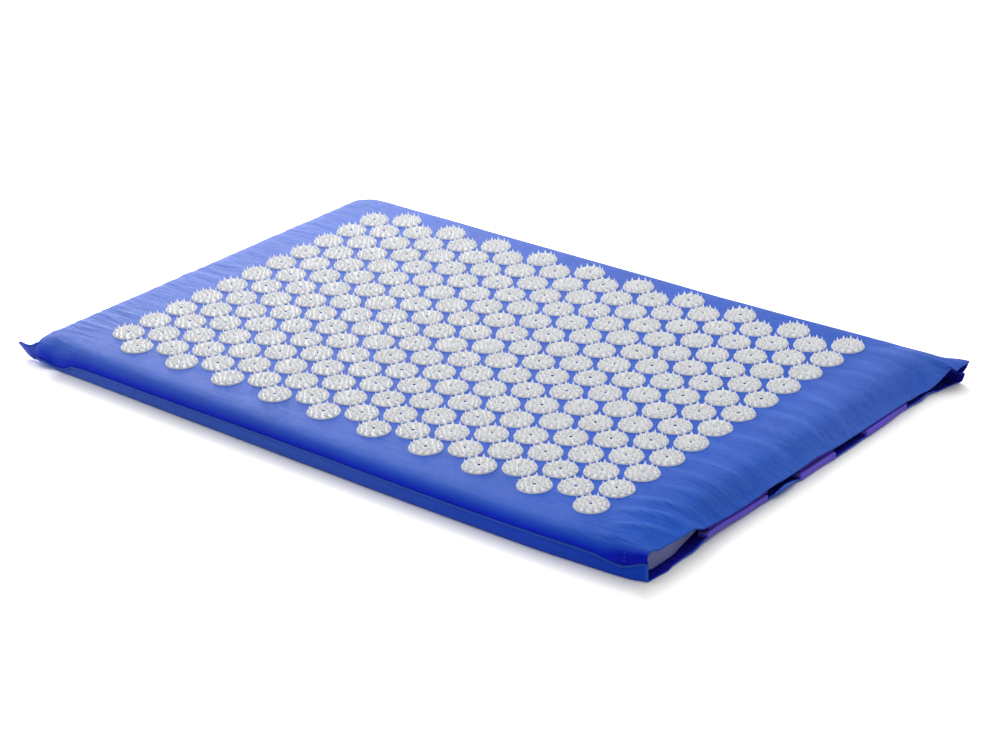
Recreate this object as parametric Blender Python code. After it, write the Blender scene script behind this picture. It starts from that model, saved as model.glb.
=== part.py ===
"""Acupressure mat: a slab of foam in a two-panel cotton cover, with a field of spike discs on top.

The mat lies on its underside, centred on the origin between its closed end and its mouth.
+X runs along the mat towards the mouth that the foam is drawn out of, +Y across it, +Z up.
Lengths are in metres. Values whose names end in share or shares are fractions of another size.
"""

import math

import bmesh
import bpy
from mathutils import Vector
from mathutils.geometry import delaunay_2d_cdt

# Spike discs: moulded plates with a crown of spikes, welded to the top panel in a close-packed field
DISC_DIAMETER = 0.0288
DISC_GAP = 0.0032
DISC_PLATE = 0.0014
SPIKE_HEIGHT = 0.0030
DIMPLE_DEPTH = 0.0007
DISC_TOP_share = 0.94
DISC_SIDES = 8
DISC_TURN = math.radians(37.0)
COLUMNS = 20
LONG_COLUMN = 12
LOOSE_COLUMNS = 2

# Cotton cover: the top panel rolls over a shoulder, the bottom panel turns up, and they meet at a seam
CLOTH = 0.0010
SIDE_LAND = 0.0016
END_LAND = 0.0260
MOUTH_LAND = 0.0403
SHOULDER = 0.0190
SHOULDER_POWER = 2.5
CORNER_RADIUS = 0.0040
FOOT_RADIUS = 0.0040
FRONT_SWELL = 0.0045
RIPPLE_HEIGHT = 0.0012
RIPPLE_SPACING = 0.0180
WRINKLE_HEIGHT = 0.0016
WRINKLE_SPACING = 0.0260
RIPPLE_ROW_shares = (0.30, 0.68)
WRINKLE_ROW_shares = (0.22, 0.48, 0.76)

# Seam between the panels, and the empty corner of it that sticks out and draws the closed end with it
SEAM_HEIGHT = 0.0115
SEAM_RADIUS = 0.0013
END_PULL = 0.0065
EAR_LENGTH = 0.0220
EAR_RISE = 0.0035
EAR_BASE = 0.0070
EAR_TIP = 0.0020
EAR_STEPS = 4

# Mouth: folded hems, held together by three pairs of hook and loop patches
HEM_WIDTH = 0.0200
HEM_CLOTH = 0.0015
CORNER_PULL = 0.0190
PULL_START_share = 0.80
FRONT_PATCH_LENGTH = 0.0780
MIDDLE_PATCH_LENGTH = 0.0480
BACK_PATCH_LENGTH = 0.0620
PATCH_WIDTH = 0.0110
PATCH_THICKNESS = 0.0020
PATCH_INSET = 0.0010
PATCH_MARGIN = 0.0030
PATCH_ROUNDING = 0.0005
PATCH_PLACE_shares = (-0.431, 0.076, 0.557)
FRONT_LIP_shares = ((-0.84, 0.32), (-0.70, 0.43), (-0.665, 0.68))
GAPE_DROP_shares = (0.77, 0.88)
BACK_LIP_shares = ((0.76, 0.82), (0.84, 0.74))

# Foam core
FOAM_THICKNESS = 0.0250
FOAM_ROOM = 0.0110
FOAM_EDGE_RADIUS = 0.0070
FOAM_END_RADIUS = 0.0020

# Clearance between pieces that touch
FIT_GAP = 0.0003

# Counts of faces along the swept forms
SIDE_STEPS = 15
END_STEPS = 10
CORNER_STEPS = 4
SHOULDER_STEPS = 4
FOOT_STEPS = 3
HEM_STEPS = 3

# Plan sizes that follow
PITCH = DISC_DIAMETER + DISC_GAP
COLUMN_STEP = PITCH * math.sin(math.radians(60.0))
FIELD_LENGTH = (COLUMNS - 1) * COLUMN_STEP + DISC_DIAMETER
FIELD_WIDTH = (LONG_COLUMN - 1) * PITCH + DISC_DIAMETER
FLAT_HALF_WIDTH = FIELD_WIDTH / 2 + SIDE_LAND
HALF_WIDTH = FLAT_HALF_WIDTH + SHOULDER
MAT_LENGTH = SHOULDER + END_LAND + FIELD_LENGTH + MOUTH_LAND + HEM_WIDTH
CLOSED_END = -MAT_LENGTH / 2
MOUTH = MAT_LENGTH / 2
HEM_LINE = MOUTH - HEM_WIDTH
FLAT_END = CLOSED_END + SHOULDER
FIRST_COLUMN = HEM_LINE - MOUTH_LAND - DISC_DIAMETER / 2
CORE_END = FLAT_END + CORNER_RADIUS
CORE_HALF_WIDTH = FLAT_HALF_WIDTH - CORNER_RADIUS

# Levels that follow
FOAM_BOTTOM = CLOTH + FIT_GAP
FOAM_TOP = FOAM_BOTTOM + FOAM_THICKNESS
TOP_INNER = FOAM_TOP + FIT_GAP
TOP_OUTER = TOP_INNER + CLOTH
UPPER_EDGE = SEAM_HEIGHT + SEAM_RADIUS + FIT_GAP
LOWER_EDGE = SEAM_HEIGHT - SEAM_RADIUS - FIT_GAP
LOOP_BOTTOM = HEM_CLOTH + FIT_GAP
HOOK_BOTTOM = LOOP_BOTTOM + PATCH_THICKNESS + FIT_GAP
LIP_INNER = HOOK_BOTTOM + PATCH_THICKNESS + FIT_GAP
LIP_DROP = TOP_OUTER - HEM_CLOTH - LIP_INNER

BLUE_COTTON = (0.035, 0.085, 0.420)
DARK_THREAD = (0.030, 0.060, 0.330)
IVORY_PLASTIC = (0.800, 0.780, 0.700)
GREY_FOAM = (0.340, 0.360, 0.400)
VIOLET_TAPE = (0.120, 0.060, 0.330)


def clear_scene():
    for obj in list(bpy.data.objects):
        bpy.data.objects.remove(obj, do_unlink=True)


def material(name, colour, roughness, metallic=0.0):
    """A Principled material, made once and shared by the pieces that have the same finish."""
    found = bpy.data.materials.get(name)
    if found:
        return found
    made = bpy.data.materials.new(name)
    made.use_nodes = True
    shader = made.node_tree.nodes["Principled BSDF"]
    shader.inputs["Base Color"].default_value = (*colour, 1.0)
    shader.inputs["Roughness"].default_value = roughness
    shader.inputs["Metallic"].default_value = metallic
    made.diffuse_color = (*colour, 1.0)
    return made


def cotton():
    return material("blue_cotton", BLUE_COTTON, 0.85)


def plastic():
    return material("ivory_plastic", IVORY_PLASTIC, 0.45)


def add_object(name, data, finish):
    data.materials.append(finish)
    obj = bpy.data.objects.new(name, data)
    bpy.context.scene.collection.objects.link(obj)
    return obj


def mesh_from(bm, name, smooth_under=math.radians(35.0)):
    """Turns a finished bmesh into a mesh whose faces point out and whose soft bends shade smooth."""
    bmesh.ops.recalc_face_normals(bm, faces=bm.faces)
    mesh = bpy.data.meshes.new(name)
    bm.to_mesh(mesh)
    bm.free()
    mesh.shade_smooth()
    mesh.set_sharp_from_angle(angle=smooth_under)
    return mesh


def spread(start, end, steps):
    """Evenly spaced values from start to end, both included."""
    return [start + (end - start) * k / steps for k in range(steps + 1)]


def smooth(share):
    """Eases a share from 0 to 1, level at both ends."""
    share = min(max(share, 0.0), 1.0)
    return share * share * (3 - 2 * share)


# Outline of the cover

def front_swell(x):
    """How far the filled front side stands out past the straight seam line at x."""
    return FRONT_SWELL * math.sin(math.pi * (x - CLOSED_END) / MAT_LENGTH) ** 2


def corner_pull(y, share):
    """How far the hem's back corner is pulled out, at share of the way from the hem line to the edge."""
    start = PULL_START_share * HALF_WIDTH
    return CORNER_PULL * share * smooth((y - start) / (HALF_WIDTH - start))


def core_end(y):
    """Where the closed end's core line runs at y: drawn out evenly from the back corner to the front."""
    return CORE_END - END_PULL * (CORE_HALF_WIDTH - y) / (2 * CORE_HALF_WIDTH)


def outline_stations():
    """(core point, outward normal, swell) round the front side, closed end and back side."""
    found = []
    for x in spread(HEM_LINE, core_end(-CORE_HALF_WIDTH), SIDE_STEPS):
        found.append((Vector((x, -CORE_HALF_WIDTH)), Vector((0, -1)), front_swell(x)))
    for corner_y, start in ((-CORE_HALF_WIDTH, 270.0), (CORE_HALF_WIDTH, 180.0)):
        for angle in spread(start, start - 90.0, CORNER_STEPS)[1 - (start < 270.0):]:
            turn = math.radians(angle)
            normal = Vector((math.cos(turn), math.sin(turn)))
            found.append((Vector((core_end(corner_y), corner_y)), normal, 0.0))
        if start == 270.0:
            for y in spread(-CORE_HALF_WIDTH, CORE_HALF_WIDTH, END_STEPS)[1:-1]:
                found.append((Vector((core_end(y), y)), Vector((-1, 0)), 0.0))
    for x in spread(core_end(CORE_HALF_WIDTH), HEM_LINE, SIDE_STEPS)[1:]:
        found.append((Vector((x, CORE_HALF_WIDTH)), Vector((0, 1)), 0.0))
    return found


def shoulder_profile(reach, base, top):
    """(share of the reach, distance out, height) from the flat down to the seam, on a superellipse."""
    found = []
    for turn in spread(math.pi / 2, 0.0, SHOULDER_STEPS):
        out_share = max(math.cos(turn), 0.0) ** (2 / SHOULDER_POWER)
        up_share = max(math.sin(turn), 0.0) ** (2 / SHOULDER_POWER)
        found.append((out_share, reach * out_share, base + (top - base) * up_share))
    return found


def foot_profile(radius, bottom, top):
    """(share of the reach, distance out, height) from the flat floor up to the seam."""
    found = []
    for turn in spread(0.0, math.pi / 2, FOOT_STEPS):
        out_share = math.sin(turn)
        found.append((out_share, radius * out_share, bottom + radius * (1 - math.cos(turn))))
    return found + [(1.0, radius, top)]


def swept_rows(bm, stations, offset, profile):
    """One row of vertices along the outline for each point of a profile."""
    rows = []
    for share, out, height in profile:
        row = []
        for core, normal, swell in stations:
            at = core + normal * (offset + out + share * swell)
            row.append(bm.verts.new((at.x, at.y, height)))
        rows.append(row)
    return rows


def bridge(bm, first, second):
    """Quads between two rows with as many vertices."""
    for k in range(len(first) - 1):
        bm.faces.new((first[k], first[k + 1], second[k + 1], second[k]))


def turned_in_skin(bm, stations, offset, outer, inner, mouth_steps):
    """Sweeps a cloth edge of real thickness round the outline. Returns its two open flat loops."""
    outer_rows = swept_rows(bm, stations, offset, outer)
    inner_rows = swept_rows(bm, stations, offset, inner)
    for rows in (outer_rows, inner_rows):
        for first, second in zip(rows, rows[1:]):
            bridge(bm, first, second)
    bridge(bm, outer_rows[-1], inner_rows[-1])
    for end in (0, -1):
        bridge(bm, [row[end] for row in outer_rows], [row[end] for row in inner_rows])
    loops = []
    for rows in (outer_rows, inner_rows):
        flat = rows[0]
        start, stop = flat[-1].co, flat[0].co
        between = [bm.verts.new(start.lerp(stop, k / mouth_steps)) for k in range(1, mouth_steps)]
        loops.append((flat, between))
    edges = [[flat[-1], *between, flat[0]] for flat, between in loops]
    bridge(bm, *edges)
    return [flat + between for flat, between in loops]


# Spike discs

def disc_places():
    """(column, x, y) of every disc, columns counted from the mouth, every second one a disc shorter."""
    found = []
    for column in range(COLUMNS):
        count = LONG_COLUMN - column % 2
        for number in range(count):
            y = (number - (count - 1) / 2) * PITCH
            found.append((column, FIRST_COLUMN - column * COLUMN_STEP, y))
    return found


def disc_ring(x, y, turn):
    """Corners of a disc's rim in plan."""
    radius = DISC_DIAMETER / 2
    angles = [turn + 2 * math.pi * k / DISC_SIDES for k in range(DISC_SIDES)]
    return [Vector((x + radius * math.cos(a), y + radius * math.sin(a))) for a in angles]


def raise_spikes(bm, faces):
    """Turns the top face of each disc plate into a crown of spikes round a centre dimple."""
    bm.normal_update()
    sectors = bmesh.ops.poke(bm, faces=faces, offset=-DIMPLE_DEPTH)["faces"]
    bm.normal_update()
    bmesh.ops.poke(bm, faces=sectors, offset=SPIKE_HEIGHT)


def raise_discs(bm, faces):
    """Grows a disc plate with its spikes out of each flat rim face of the cloth."""
    plates = bmesh.ops.extrude_discrete_faces(bm, faces=faces)["faces"]
    for plate in plates:
        centre = plate.calc_center_median()
        for vert in plate.verts:
            vert.co = centre + (vert.co - centre) * DISC_TOP_share + Vector((0, 0, DISC_PLATE))
    raise_spikes(bm, plates)


def fill_with_discs(bm, loop, hills, fold_line, rings):
    """Triangulates the flat top inside its loop, round the hills of the cloth and the disc rims."""
    verts = list(loop)
    edges = [(k, (k + 1) % len(loop)) for k in range(len(loop))]
    edges += [(len(verts) + k, len(verts) + k + 1) for k in range(len(fold_line) - 1)]
    for x, y, z in fold_line + hills:
        verts.append(bm.verts.new((x, y, z)))
    rims = []
    for ring in rings:
        first = len(verts)
        rim = [bm.verts.new((corner.x, corner.y, TOP_OUTER)) for corner in ring]
        edges += [(first + k, first + (k + 1) % len(rim)) for k in range(len(rim))]
        verts += rim
        rims.append(rim)
    flat = [Vector(vert.co.xy) for vert in verts]
    _, _, triangles, origins, _, _ = delaunay_2d_cdt(flat, edges, [], 1, FIT_GAP * FIT_GAP)
    rim_of = {vert: number for number, rim in enumerate(rims) for vert in rim}
    for triangle in triangles:
        corners = [verts[origins[k][0]] for k in triangle]
        owners = {rim_of.get(vert, -1) for vert in corners}
        if len(owners) > 1 or -1 in owners:
            bm.faces.new(corners)
    return [bm.faces.new(rim) for rim in rims]


def hills_of_the_cloth():
    """Short ripples on the closed end's margin and slanting wrinkles on the mouth's."""
    found = []
    half = FLAT_HALF_WIDTH - RIPPLE_SPACING / 2
    for row, share in enumerate(RIPPLE_ROW_shares):
        x = FLAT_END + END_LAND * share
        count = int(2 * half / RIPPLE_SPACING)
        for k, y in enumerate(spread(-half, half, count)):
            found.append((x, y, TOP_OUTER + RIPPLE_HEIGHT * ((k + row) % 2)))
    half = FLAT_HALF_WIDTH - WRINKLE_SPACING / 2
    for row, share in enumerate(WRINKLE_ROW_shares):
        x = HEM_LINE - MOUTH_LAND * (1 - share)
        count = int(2 * half / WRINKLE_SPACING)
        for k, y in enumerate(spread(-half, half, count)):
            found.append((x, y, TOP_OUTER + WRINKLE_HEIGHT * ((2 * k + row) % 4 == 0)))
    return found


def level_line():
    """The level line across the cloth where the mouth's wrinkles end, just past the last discs."""
    half = FLAT_HALF_WIDTH - SIDE_LAND
    count = int(2 * half / WRINKLE_SPACING)
    return [(HEM_LINE - MOUTH_LAND + SIDE_LAND, y, TOP_OUTER) for y in spread(-half, half, count)]


# Pieces of the cover

def make_top_panel():
    """The upper cloth, with the discs that share its node fused where they are welded on."""
    bm = bmesh.new()
    outer, inner = turned_in_skin(
        bm,
        outline_stations(),
        CORNER_RADIUS,
        shoulder_profile(SHOULDER, UPPER_EDGE, TOP_OUTER),
        shoulder_profile(SHOULDER - CLOTH, UPPER_EDGE, TOP_INNER),
        mouth_steps=END_STEPS,
    )
    rings = []
    for number, (column, x, y) in enumerate(disc_places()):
        if column >= LOOSE_COLUMNS:
            rings.append(disc_ring(x, y, number * DISC_TURN))
    rim_faces = fill_with_discs(bm, outer, hills_of_the_cloth(), level_line(), rings)
    for face in rim_faces:
        if face.normal.z < 0:
            face.normal_flip()
    bm.faces.new(inner)
    bmesh.ops.recalc_face_normals(bm, faces=bm.faces)
    raise_discs(bm, rim_faces)
    return add_object("top_panel", mesh_from(bm, "top_panel"), cotton())


def make_loose_discs():
    """The columns nearest the mouth, each disc a piece of its own, set down on the cloth."""
    bm = bmesh.new()
    thickness = DISC_PLATE - FIT_GAP
    bmesh.ops.create_cone(
        bm,
        cap_ends=True,
        segments=DISC_SIDES,
        radius1=DISC_DIAMETER / 2,
        radius2=DISC_DIAMETER / 2 * DISC_TOP_share,
        depth=thickness,
    )
    bmesh.ops.translate(bm, verts=bm.verts, vec=(0, 0, thickness / 2))
    bm.normal_update()
    raise_spikes(bm, [face for face in bm.faces if face.normal.z > 0.99])
    mesh = mesh_from(bm, "spike_disc")
    mesh.materials.append(plastic())
    loose = [place for place in disc_places() if place[0] < LOOSE_COLUMNS]
    for number, (_, x, y) in enumerate(loose, start=1):
        obj = bpy.data.objects.new(f"spike_disc_{number:02d}", mesh)
        obj.location = (x, y, TOP_OUTER + FIT_GAP)
        obj.rotation_euler.z = number * DISC_TURN
        bpy.context.scene.collection.objects.link(obj)


def make_bottom_panel():
    """The lower cloth: flat on the ground, its edge turned up to the seam."""
    bm = bmesh.new()
    outer, inner = turned_in_skin(
        bm,
        outline_stations(),
        CORNER_RADIUS + SHOULDER - FOOT_RADIUS,
        foot_profile(FOOT_RADIUS, 0.0, LOWER_EDGE),
        foot_profile(FOOT_RADIUS - CLOTH, CLOTH, LOWER_EDGE),
        mouth_steps=1,
    )
    bm.faces.new(outer)
    bm.faces.new(inner)
    return add_object("bottom_panel", mesh_from(bm, "bottom_panel"), cotton())


def seam_route(stations, edge_x=None):
    """Centre line of the seam past the given outline stations, and on to the mouth's edge at edge_x."""
    reach = CORNER_RADIUS + SHOULDER - CLOTH / 2
    found = []
    for core, normal, swell in stations:
        at = core + normal * (reach + swell)
        found.append(Vector((at.x, at.y, SEAM_HEIGHT)))
    if edge_x is not None:
        y = math.copysign(HALF_WIDTH - CLOTH / 2, found[-1].y)
        found.append(Vector((edge_x + corner_pull(y, 1.0), y, SEAM_HEIGHT)))
    return found


def make_seam(name, route):
    curve = bpy.data.curves.new(name, "CURVE")
    curve.dimensions = "3D"
    curve.bevel_depth = SEAM_RADIUS
    curve.bevel_resolution = 1
    curve.use_fill_caps = True
    spline = curve.splines.new("POLY")
    spline.points.add(len(route) - 1)
    for point, at in zip(spline.points, route):
        point.co = (*at, 1.0)
    return add_object(name, curve, material("seam_thread", DARK_THREAD, 0.80))


def make_seams():
    """The sewn edge of both panels with its thread: one run a side and one round the closed end."""
    stations = outline_stations()
    front = stations[: SIDE_STEPS + 1]
    back = stations[-SIDE_STEPS - 1:]
    around = stations[SIDE_STEPS: len(stations) - SIDE_STEPS]
    make_seam("front_side_seam", seam_route(front[::-1], MOUTH))
    make_seam("back_side_seam", seam_route(back, MOUTH))
    route = seam_route(around)
    route[0] = route[0] - Vector((FIT_GAP, 0, 0))
    route[-1] = route[-1] - Vector((FIT_GAP, 0, 0))
    make_seam("closed_end_seam", route)


def make_corner_ear():
    """The seam's unfilled corner, where both panels lie together and stick out past the closed end."""
    bm = bmesh.new()
    radius = CORNER_RADIUS + SHOULDER - CLOTH / 2 + SEAM_RADIUS + FIT_GAP
    corner = core_end(-CORE_HALF_WIDTH)
    tip = Vector((CLOSED_END - END_PULL - EAR_LENGTH, -HALF_WIDTH, SEAM_HEIGHT + EAR_RISE))
    layers = []
    for side in (-0.5, 0.5):
        row = []
        for turn in spread(math.pi, 1.5 * math.pi, EAR_STEPS):
            x = corner + radius * math.cos(turn)
            y = -CORE_HALF_WIDTH + radius * math.sin(turn)
            row.append(bm.verts.new((x, y, SEAM_HEIGHT + side * EAR_BASE)))
        row.append(bm.verts.new(tip + Vector((0, 0, side * EAR_TIP))))
        layers.append(row)
    lower, upper = layers
    for row in layers:
        for k in range(EAR_STEPS):
            bm.faces.new((row[-1], row[k], row[k + 1]))
    bridge(bm, lower + lower[:1], upper + upper[:1])
    return add_object("corner_ear", mesh_from(bm, "corner_ear"), cotton())


# Pieces of the mouth

def patches_along():
    """(place, y, length) of the three closures along the mouth."""
    lengths = (FRONT_PATCH_LENGTH, MIDDLE_PATCH_LENGTH, BACK_PATCH_LENGTH)
    centres = [share * HALF_WIDTH for share in PATCH_PLACE_shares]
    return list(zip(("front", "middle", "back"), centres, lengths))


def lip_stations():
    """(y, share of the full drop) across the mouth: down at the patches, gaping between them."""
    held = []
    for _, centre, length in patches_along():
        half = length / 2 + PATCH_MARGIN
        held.append((centre - half, centre, centre + half))
    found = [(-FLAT_HALF_WIDTH, 0.0)]
    found += [(share * HALF_WIDTH, drop) for share, drop in FRONT_LIP_shares]
    found += [(y, 1.0) for y in held[0]]
    for before, after, gape in zip(held, held[1:], GAPE_DROP_shares):
        start, end = before[-1], after[0]
        for part in spread(0.0, 1.0, 4)[1:-1]:
            drop = 1 - (1 - gape) * math.sin(math.pi * part)
            found.append((start + (end - start) * part, drop))
        found += [(y, 1.0) for y in after]
    found += [(share * HALF_WIDTH, drop) for share, drop in BACK_LIP_shares]
    found.append((FLAT_HALF_WIDTH, 0.0))
    return found


def hem_columns():
    """Shares of the hem's width from the hem line to the edge, and how much of the drop each has."""
    level = 1 - (PATCH_INSET + PATCH_WIDTH + FIT_GAP) / HEM_WIDTH
    return [(0.0, 0.0), (level / 2, 0.5), (level, 1.0), (1.0, 1.0)]


def hem_skin(bm, section, columns):
    """Lofts one face of a hem: section gives (y, height, drop) and columns the way to the edge."""
    rows = []
    for share, ease in columns:
        row = []
        for y, height, drop in section:
            x = HEM_LINE + FIT_GAP + share * (HEM_WIDTH - FIT_GAP) + corner_pull(y, share)
            row.append(bm.verts.new((x, y, height - drop * ease)))
        rows.append(row)
    for first, second in zip(rows, rows[1:]):
        bridge(bm, first, second)
    return rows


def close_hem(bm, outer, inner):
    """Joins a hem's two faces round their edges."""
    for row in (0, -1):
        bridge(bm, outer[row], inner[row])
        bridge(bm, [r[row] for r in outer], [r[row] for r in inner])


def make_top_hem():
    """The upper lip: level with the panel at the hem line, sagging to the patches at the edge."""
    bm = bmesh.new()
    skins = []
    for thickness in (0.0, HEM_CLOTH):
        reach = SHOULDER - thickness
        profile = shoulder_profile(reach, UPPER_EDGE, TOP_OUTER - thickness)
        front = [(-FLAT_HALF_WIDTH - out, height, 0.0) for _, out, height in profile[:0:-1]]
        back = [(FLAT_HALF_WIDTH + out, height, 0.0) for _, out, height in profile[1:]]
        middle = [(y, TOP_OUTER - thickness, LIP_DROP * drop) for y, drop in lip_stations()]
        skins.append(hem_skin(bm, front + middle + back, hem_columns()))
    close_hem(bm, *skins)
    return add_object("top_hem", mesh_from(bm, "top_hem"), cotton())


def make_bottom_hem():
    """The lower lip: flat on the ground, its ends turned up to the seam."""
    bm = bmesh.new()
    flat = HALF_WIDTH - FOOT_RADIUS
    columns = [(share, 0.0) for share in spread(0.0, 1.0, HEM_STEPS)]
    skins = []
    for thickness in (0.0, HEM_CLOTH):
        profile = foot_profile(FOOT_RADIUS - thickness, thickness, LOWER_EDGE)
        front = [(-flat - out, height, 0.0) for _, out, height in profile[:0:-1]]
        back = [(flat + out, height, 0.0) for _, out, height in profile[1:]]
        middle = [(y, thickness, 0.0) for y in spread(-flat, flat, END_STEPS)]
        skins.append(hem_skin(bm, front + middle + back, columns))
    close_hem(bm, *skins)
    return add_object("bottom_hem", mesh_from(bm, "bottom_hem"), cotton())


def make_patches():
    """Hook patches sewn under the top hem, each closed on its loop patch on the bottom hem."""
    x = MOUTH - PATCH_INSET - PATCH_WIDTH / 2
    for place, y, length in patches_along():
        size = Vector((PATCH_WIDTH, length, PATCH_THICKNESS))
        for kind, bottom in (("loop", LOOP_BOTTOM), ("hook", HOOK_BOTTOM)):
            bm = bmesh.new()
            bmesh.ops.create_cube(bm, size=1.0)
            bmesh.ops.scale(bm, verts=bm.verts, vec=size)
            upright = [edge for edge in bm.edges if abs(edge.verts[0].co.z - edge.verts[1].co.z) > 0]
            bmesh.ops.bevel(bm, geom=upright, offset=PATCH_ROUNDING, segments=2, affect="EDGES")
            name = f"{kind}_patch_{place}"
            tape = material("violet_tape", VIOLET_TAPE, 0.90)
            patch = add_object(name, mesh_from(bm, name), tape)
            patch.location = (x, y, bottom + PATCH_THICKNESS / 2)


def make_foam_core():
    """The slab of foam, its long and closed-end edges pressed round by the cover."""
    bm = bmesh.new()
    start, end = CLOSED_END + FOAM_ROOM, HEM_LINE - FIT_GAP
    size = Vector((end - start, 2 * (HALF_WIDTH - FOAM_ROOM), FOAM_THICKNESS))
    bmesh.ops.create_cube(bm, size=1.0)
    bmesh.ops.scale(bm, verts=bm.verts, vec=size)
    open_face = size.x / 2 - FIT_GAP
    mouth_edges = [edge for edge in bm.edges if all(v.co.x > open_face for v in edge.verts)]
    other_edges = [edge for edge in bm.edges if edge not in mouth_edges]
    bmesh.ops.bevel(bm, geom=other_edges, offset=FOAM_EDGE_RADIUS, segments=3, profile=0.5, affect="EDGES")
    rim = [edge for edge in bm.edges if all(v.co.x > open_face for v in edge.verts)]
    bmesh.ops.bevel(bm, geom=rim, offset=FOAM_END_RADIUS, segments=1, affect="EDGES")
    foam = add_object("foam_core", mesh_from(bm, "foam_core"), material("grey_foam", GREY_FOAM, 0.95))
    foam.location = ((start + end) / 2, 0, FOAM_BOTTOM + FOAM_THICKNESS / 2)


def main():
    clear_scene()
    make_foam_core()
    make_bottom_panel()
    make_top_panel()
    make_loose_discs()
    make_seams()
    make_corner_ear()
    make_top_hem()
    make_bottom_hem()
    make_patches()


main()
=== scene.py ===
"""Dresses the acupressure mat: foam slab, cotton slip cover, spike discs, mouth, closures and a plain stage.

Lengths are in metres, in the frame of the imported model: +X to the mouth, +Y to the back, +Z up.
"""

import bisect
import math
import random

import bmesh
import bpy
from mathutils import Matrix, Quaternion, Vector, noise


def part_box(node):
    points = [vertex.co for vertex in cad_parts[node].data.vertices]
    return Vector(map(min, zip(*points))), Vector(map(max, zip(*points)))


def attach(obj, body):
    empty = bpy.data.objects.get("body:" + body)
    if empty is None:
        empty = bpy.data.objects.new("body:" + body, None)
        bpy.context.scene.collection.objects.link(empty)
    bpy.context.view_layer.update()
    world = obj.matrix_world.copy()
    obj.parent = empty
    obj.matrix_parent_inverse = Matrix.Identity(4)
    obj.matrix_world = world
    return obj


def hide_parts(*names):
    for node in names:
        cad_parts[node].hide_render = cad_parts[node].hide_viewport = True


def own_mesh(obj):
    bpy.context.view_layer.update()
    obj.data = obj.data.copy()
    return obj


bl_info = {
    "name": "Acupressure mat",
    "version": (1, 0, 0),
    "blender": (4, 5, 0),
    "location": "View3D > Sidebar > Mat",
    "description": "Builds an acupressure mat: foam, cotton cover, spike discs and closures",
    "category": "Add Mesh",
}

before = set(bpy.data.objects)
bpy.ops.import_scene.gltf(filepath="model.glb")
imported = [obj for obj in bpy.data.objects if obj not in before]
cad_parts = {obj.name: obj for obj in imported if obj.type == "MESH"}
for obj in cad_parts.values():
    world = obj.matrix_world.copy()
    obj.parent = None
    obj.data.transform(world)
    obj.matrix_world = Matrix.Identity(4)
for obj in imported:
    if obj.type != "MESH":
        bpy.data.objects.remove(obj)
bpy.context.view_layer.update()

FIRST_DISC = sum(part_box("spike_disc_01"), Vector()) / 2
NEXT_DISC = sum(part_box("spike_disc_02"), Vector()) / 2
NEXT_COLUMN = sum(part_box("spike_disc_13"), Vector()) / 2
FOAM_LOW, FOAM_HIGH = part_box("foam_core")
PANEL_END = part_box("top_panel")[1].x
CLOTH_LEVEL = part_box("spike_disc_01")[0].z - 0.0003

# Distance between the two places that a cloth's slope is taken from
PROBE = 0.0004
# Where the turned-in side of a hem stops, as a share of the hem's width from its line
HEM_STOP = 0.14
# Range that most of a noise's values lie in
NOISE_LOW, NOISE_HIGH = 0.3, 0.7
# Corners round the sewn edge and round the ear
WELT_SIDES, EAR_SIDES = 12, 16
# How far inside the rim the middle of the sewn edge lies
WELT_INSET = 0.0004
# How deep a stitch lies in the cloth, and how far past the hem line the hem's stitches run
STITCH_SUNK, HEM_STITCH = 0.0002, 0.0036

# Section of the top cloth: distance out from the flat core, and share of the height above the seam
SHOULDER_LINE = (
    (0.0, 1.0), (0.004, 1.0), (0.0095, 0.988), (0.014, 0.95), (0.0178, 0.875), (0.0206, 0.77),
    (0.0223, 0.63), (0.0231, 0.47), (0.0233, 0.31), (0.0231, 0.18), (0.0224, 0.08), (0.0215, 0.0),
)
# Section of the bottom cloth: distance out from the same core, and share of the height below the seam
FOOT_LINE = (
    (0.0, 0.0), (0.0095, 0.0), (0.0205, 0.0), (0.0219, 0.02), (0.0227, 0.09), (0.0231, 0.22),
    (0.0232, 0.45), (0.0231, 0.70), (0.0228, 0.90), (0.0223, 1.0),
)
# Height of the seam along the front, from the corner ear to the mouth
FRONT_SEAM = (
    (-0.3303, 0.0115), (-0.3292, 0.0064), (-0.3259, 0.0065), (-0.3208, 0.0075), (-0.3144, 0.0072),
    (-0.3109, 0.0049), (-0.3073, 0.0028), (-0.299, 0.0030), (-0.290, 0.0086), (-0.270, 0.0101),
    (-0.190, 0.0109), (-0.100, 0.0120), (0.0, 0.0130), (0.150, 0.0129), (0.255, 0.0136),
    (0.285, 0.0128), (0.300, 0.0106), (0.3105, 0.0092), (0.318, 0.0112), (0.3303, 0.0148),
)
# How far the filled front side stands out past a straight line
FRONT_SWELL = (
    (-0.330, 0.0), (-0.300, 0.0006), (-0.275, 0.0011), (-0.230, 0.0018), (-0.185, 0.0027),
    (-0.142, 0.0034), (-0.100, 0.0040), (-0.059, 0.0046), (-0.019, 0.0054), (0.020, 0.0056),
    (0.059, 0.0062), (0.110, 0.0065), (0.190, 0.0064), (0.237, 0.0058), (0.2695, 0.0040),
    (0.301, 0.0021), (0.320, -0.0001), (0.3303, -0.0036),
)
# The same for the back side
BACK_SWELL = (
    (-0.330, 0.0004), (-0.290, 0.0014), (-0.210, 0.0012), (-0.160, 0.0), (-0.060, -0.0007),
    (0.050, -0.0015), (0.095, -0.0025), (0.130, -0.0018), (0.180, -0.0011), (0.225, 0.0005),
    (0.300, 0.0026), (0.3303, 0.0050),
)
# How far the foot of the closed end's front corner is lifted off the ground, up to the ear
FOOT_LIFT = (
    (-0.3303, 0.0), (-0.3292, 0.0028), (-0.3259, 0.0060), (-0.3208, 0.0070), (-0.3144, 0.0067),
    (-0.3109, 0.0044), (-0.3073, 0.0012), (-0.300, 0.0),
)
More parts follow.
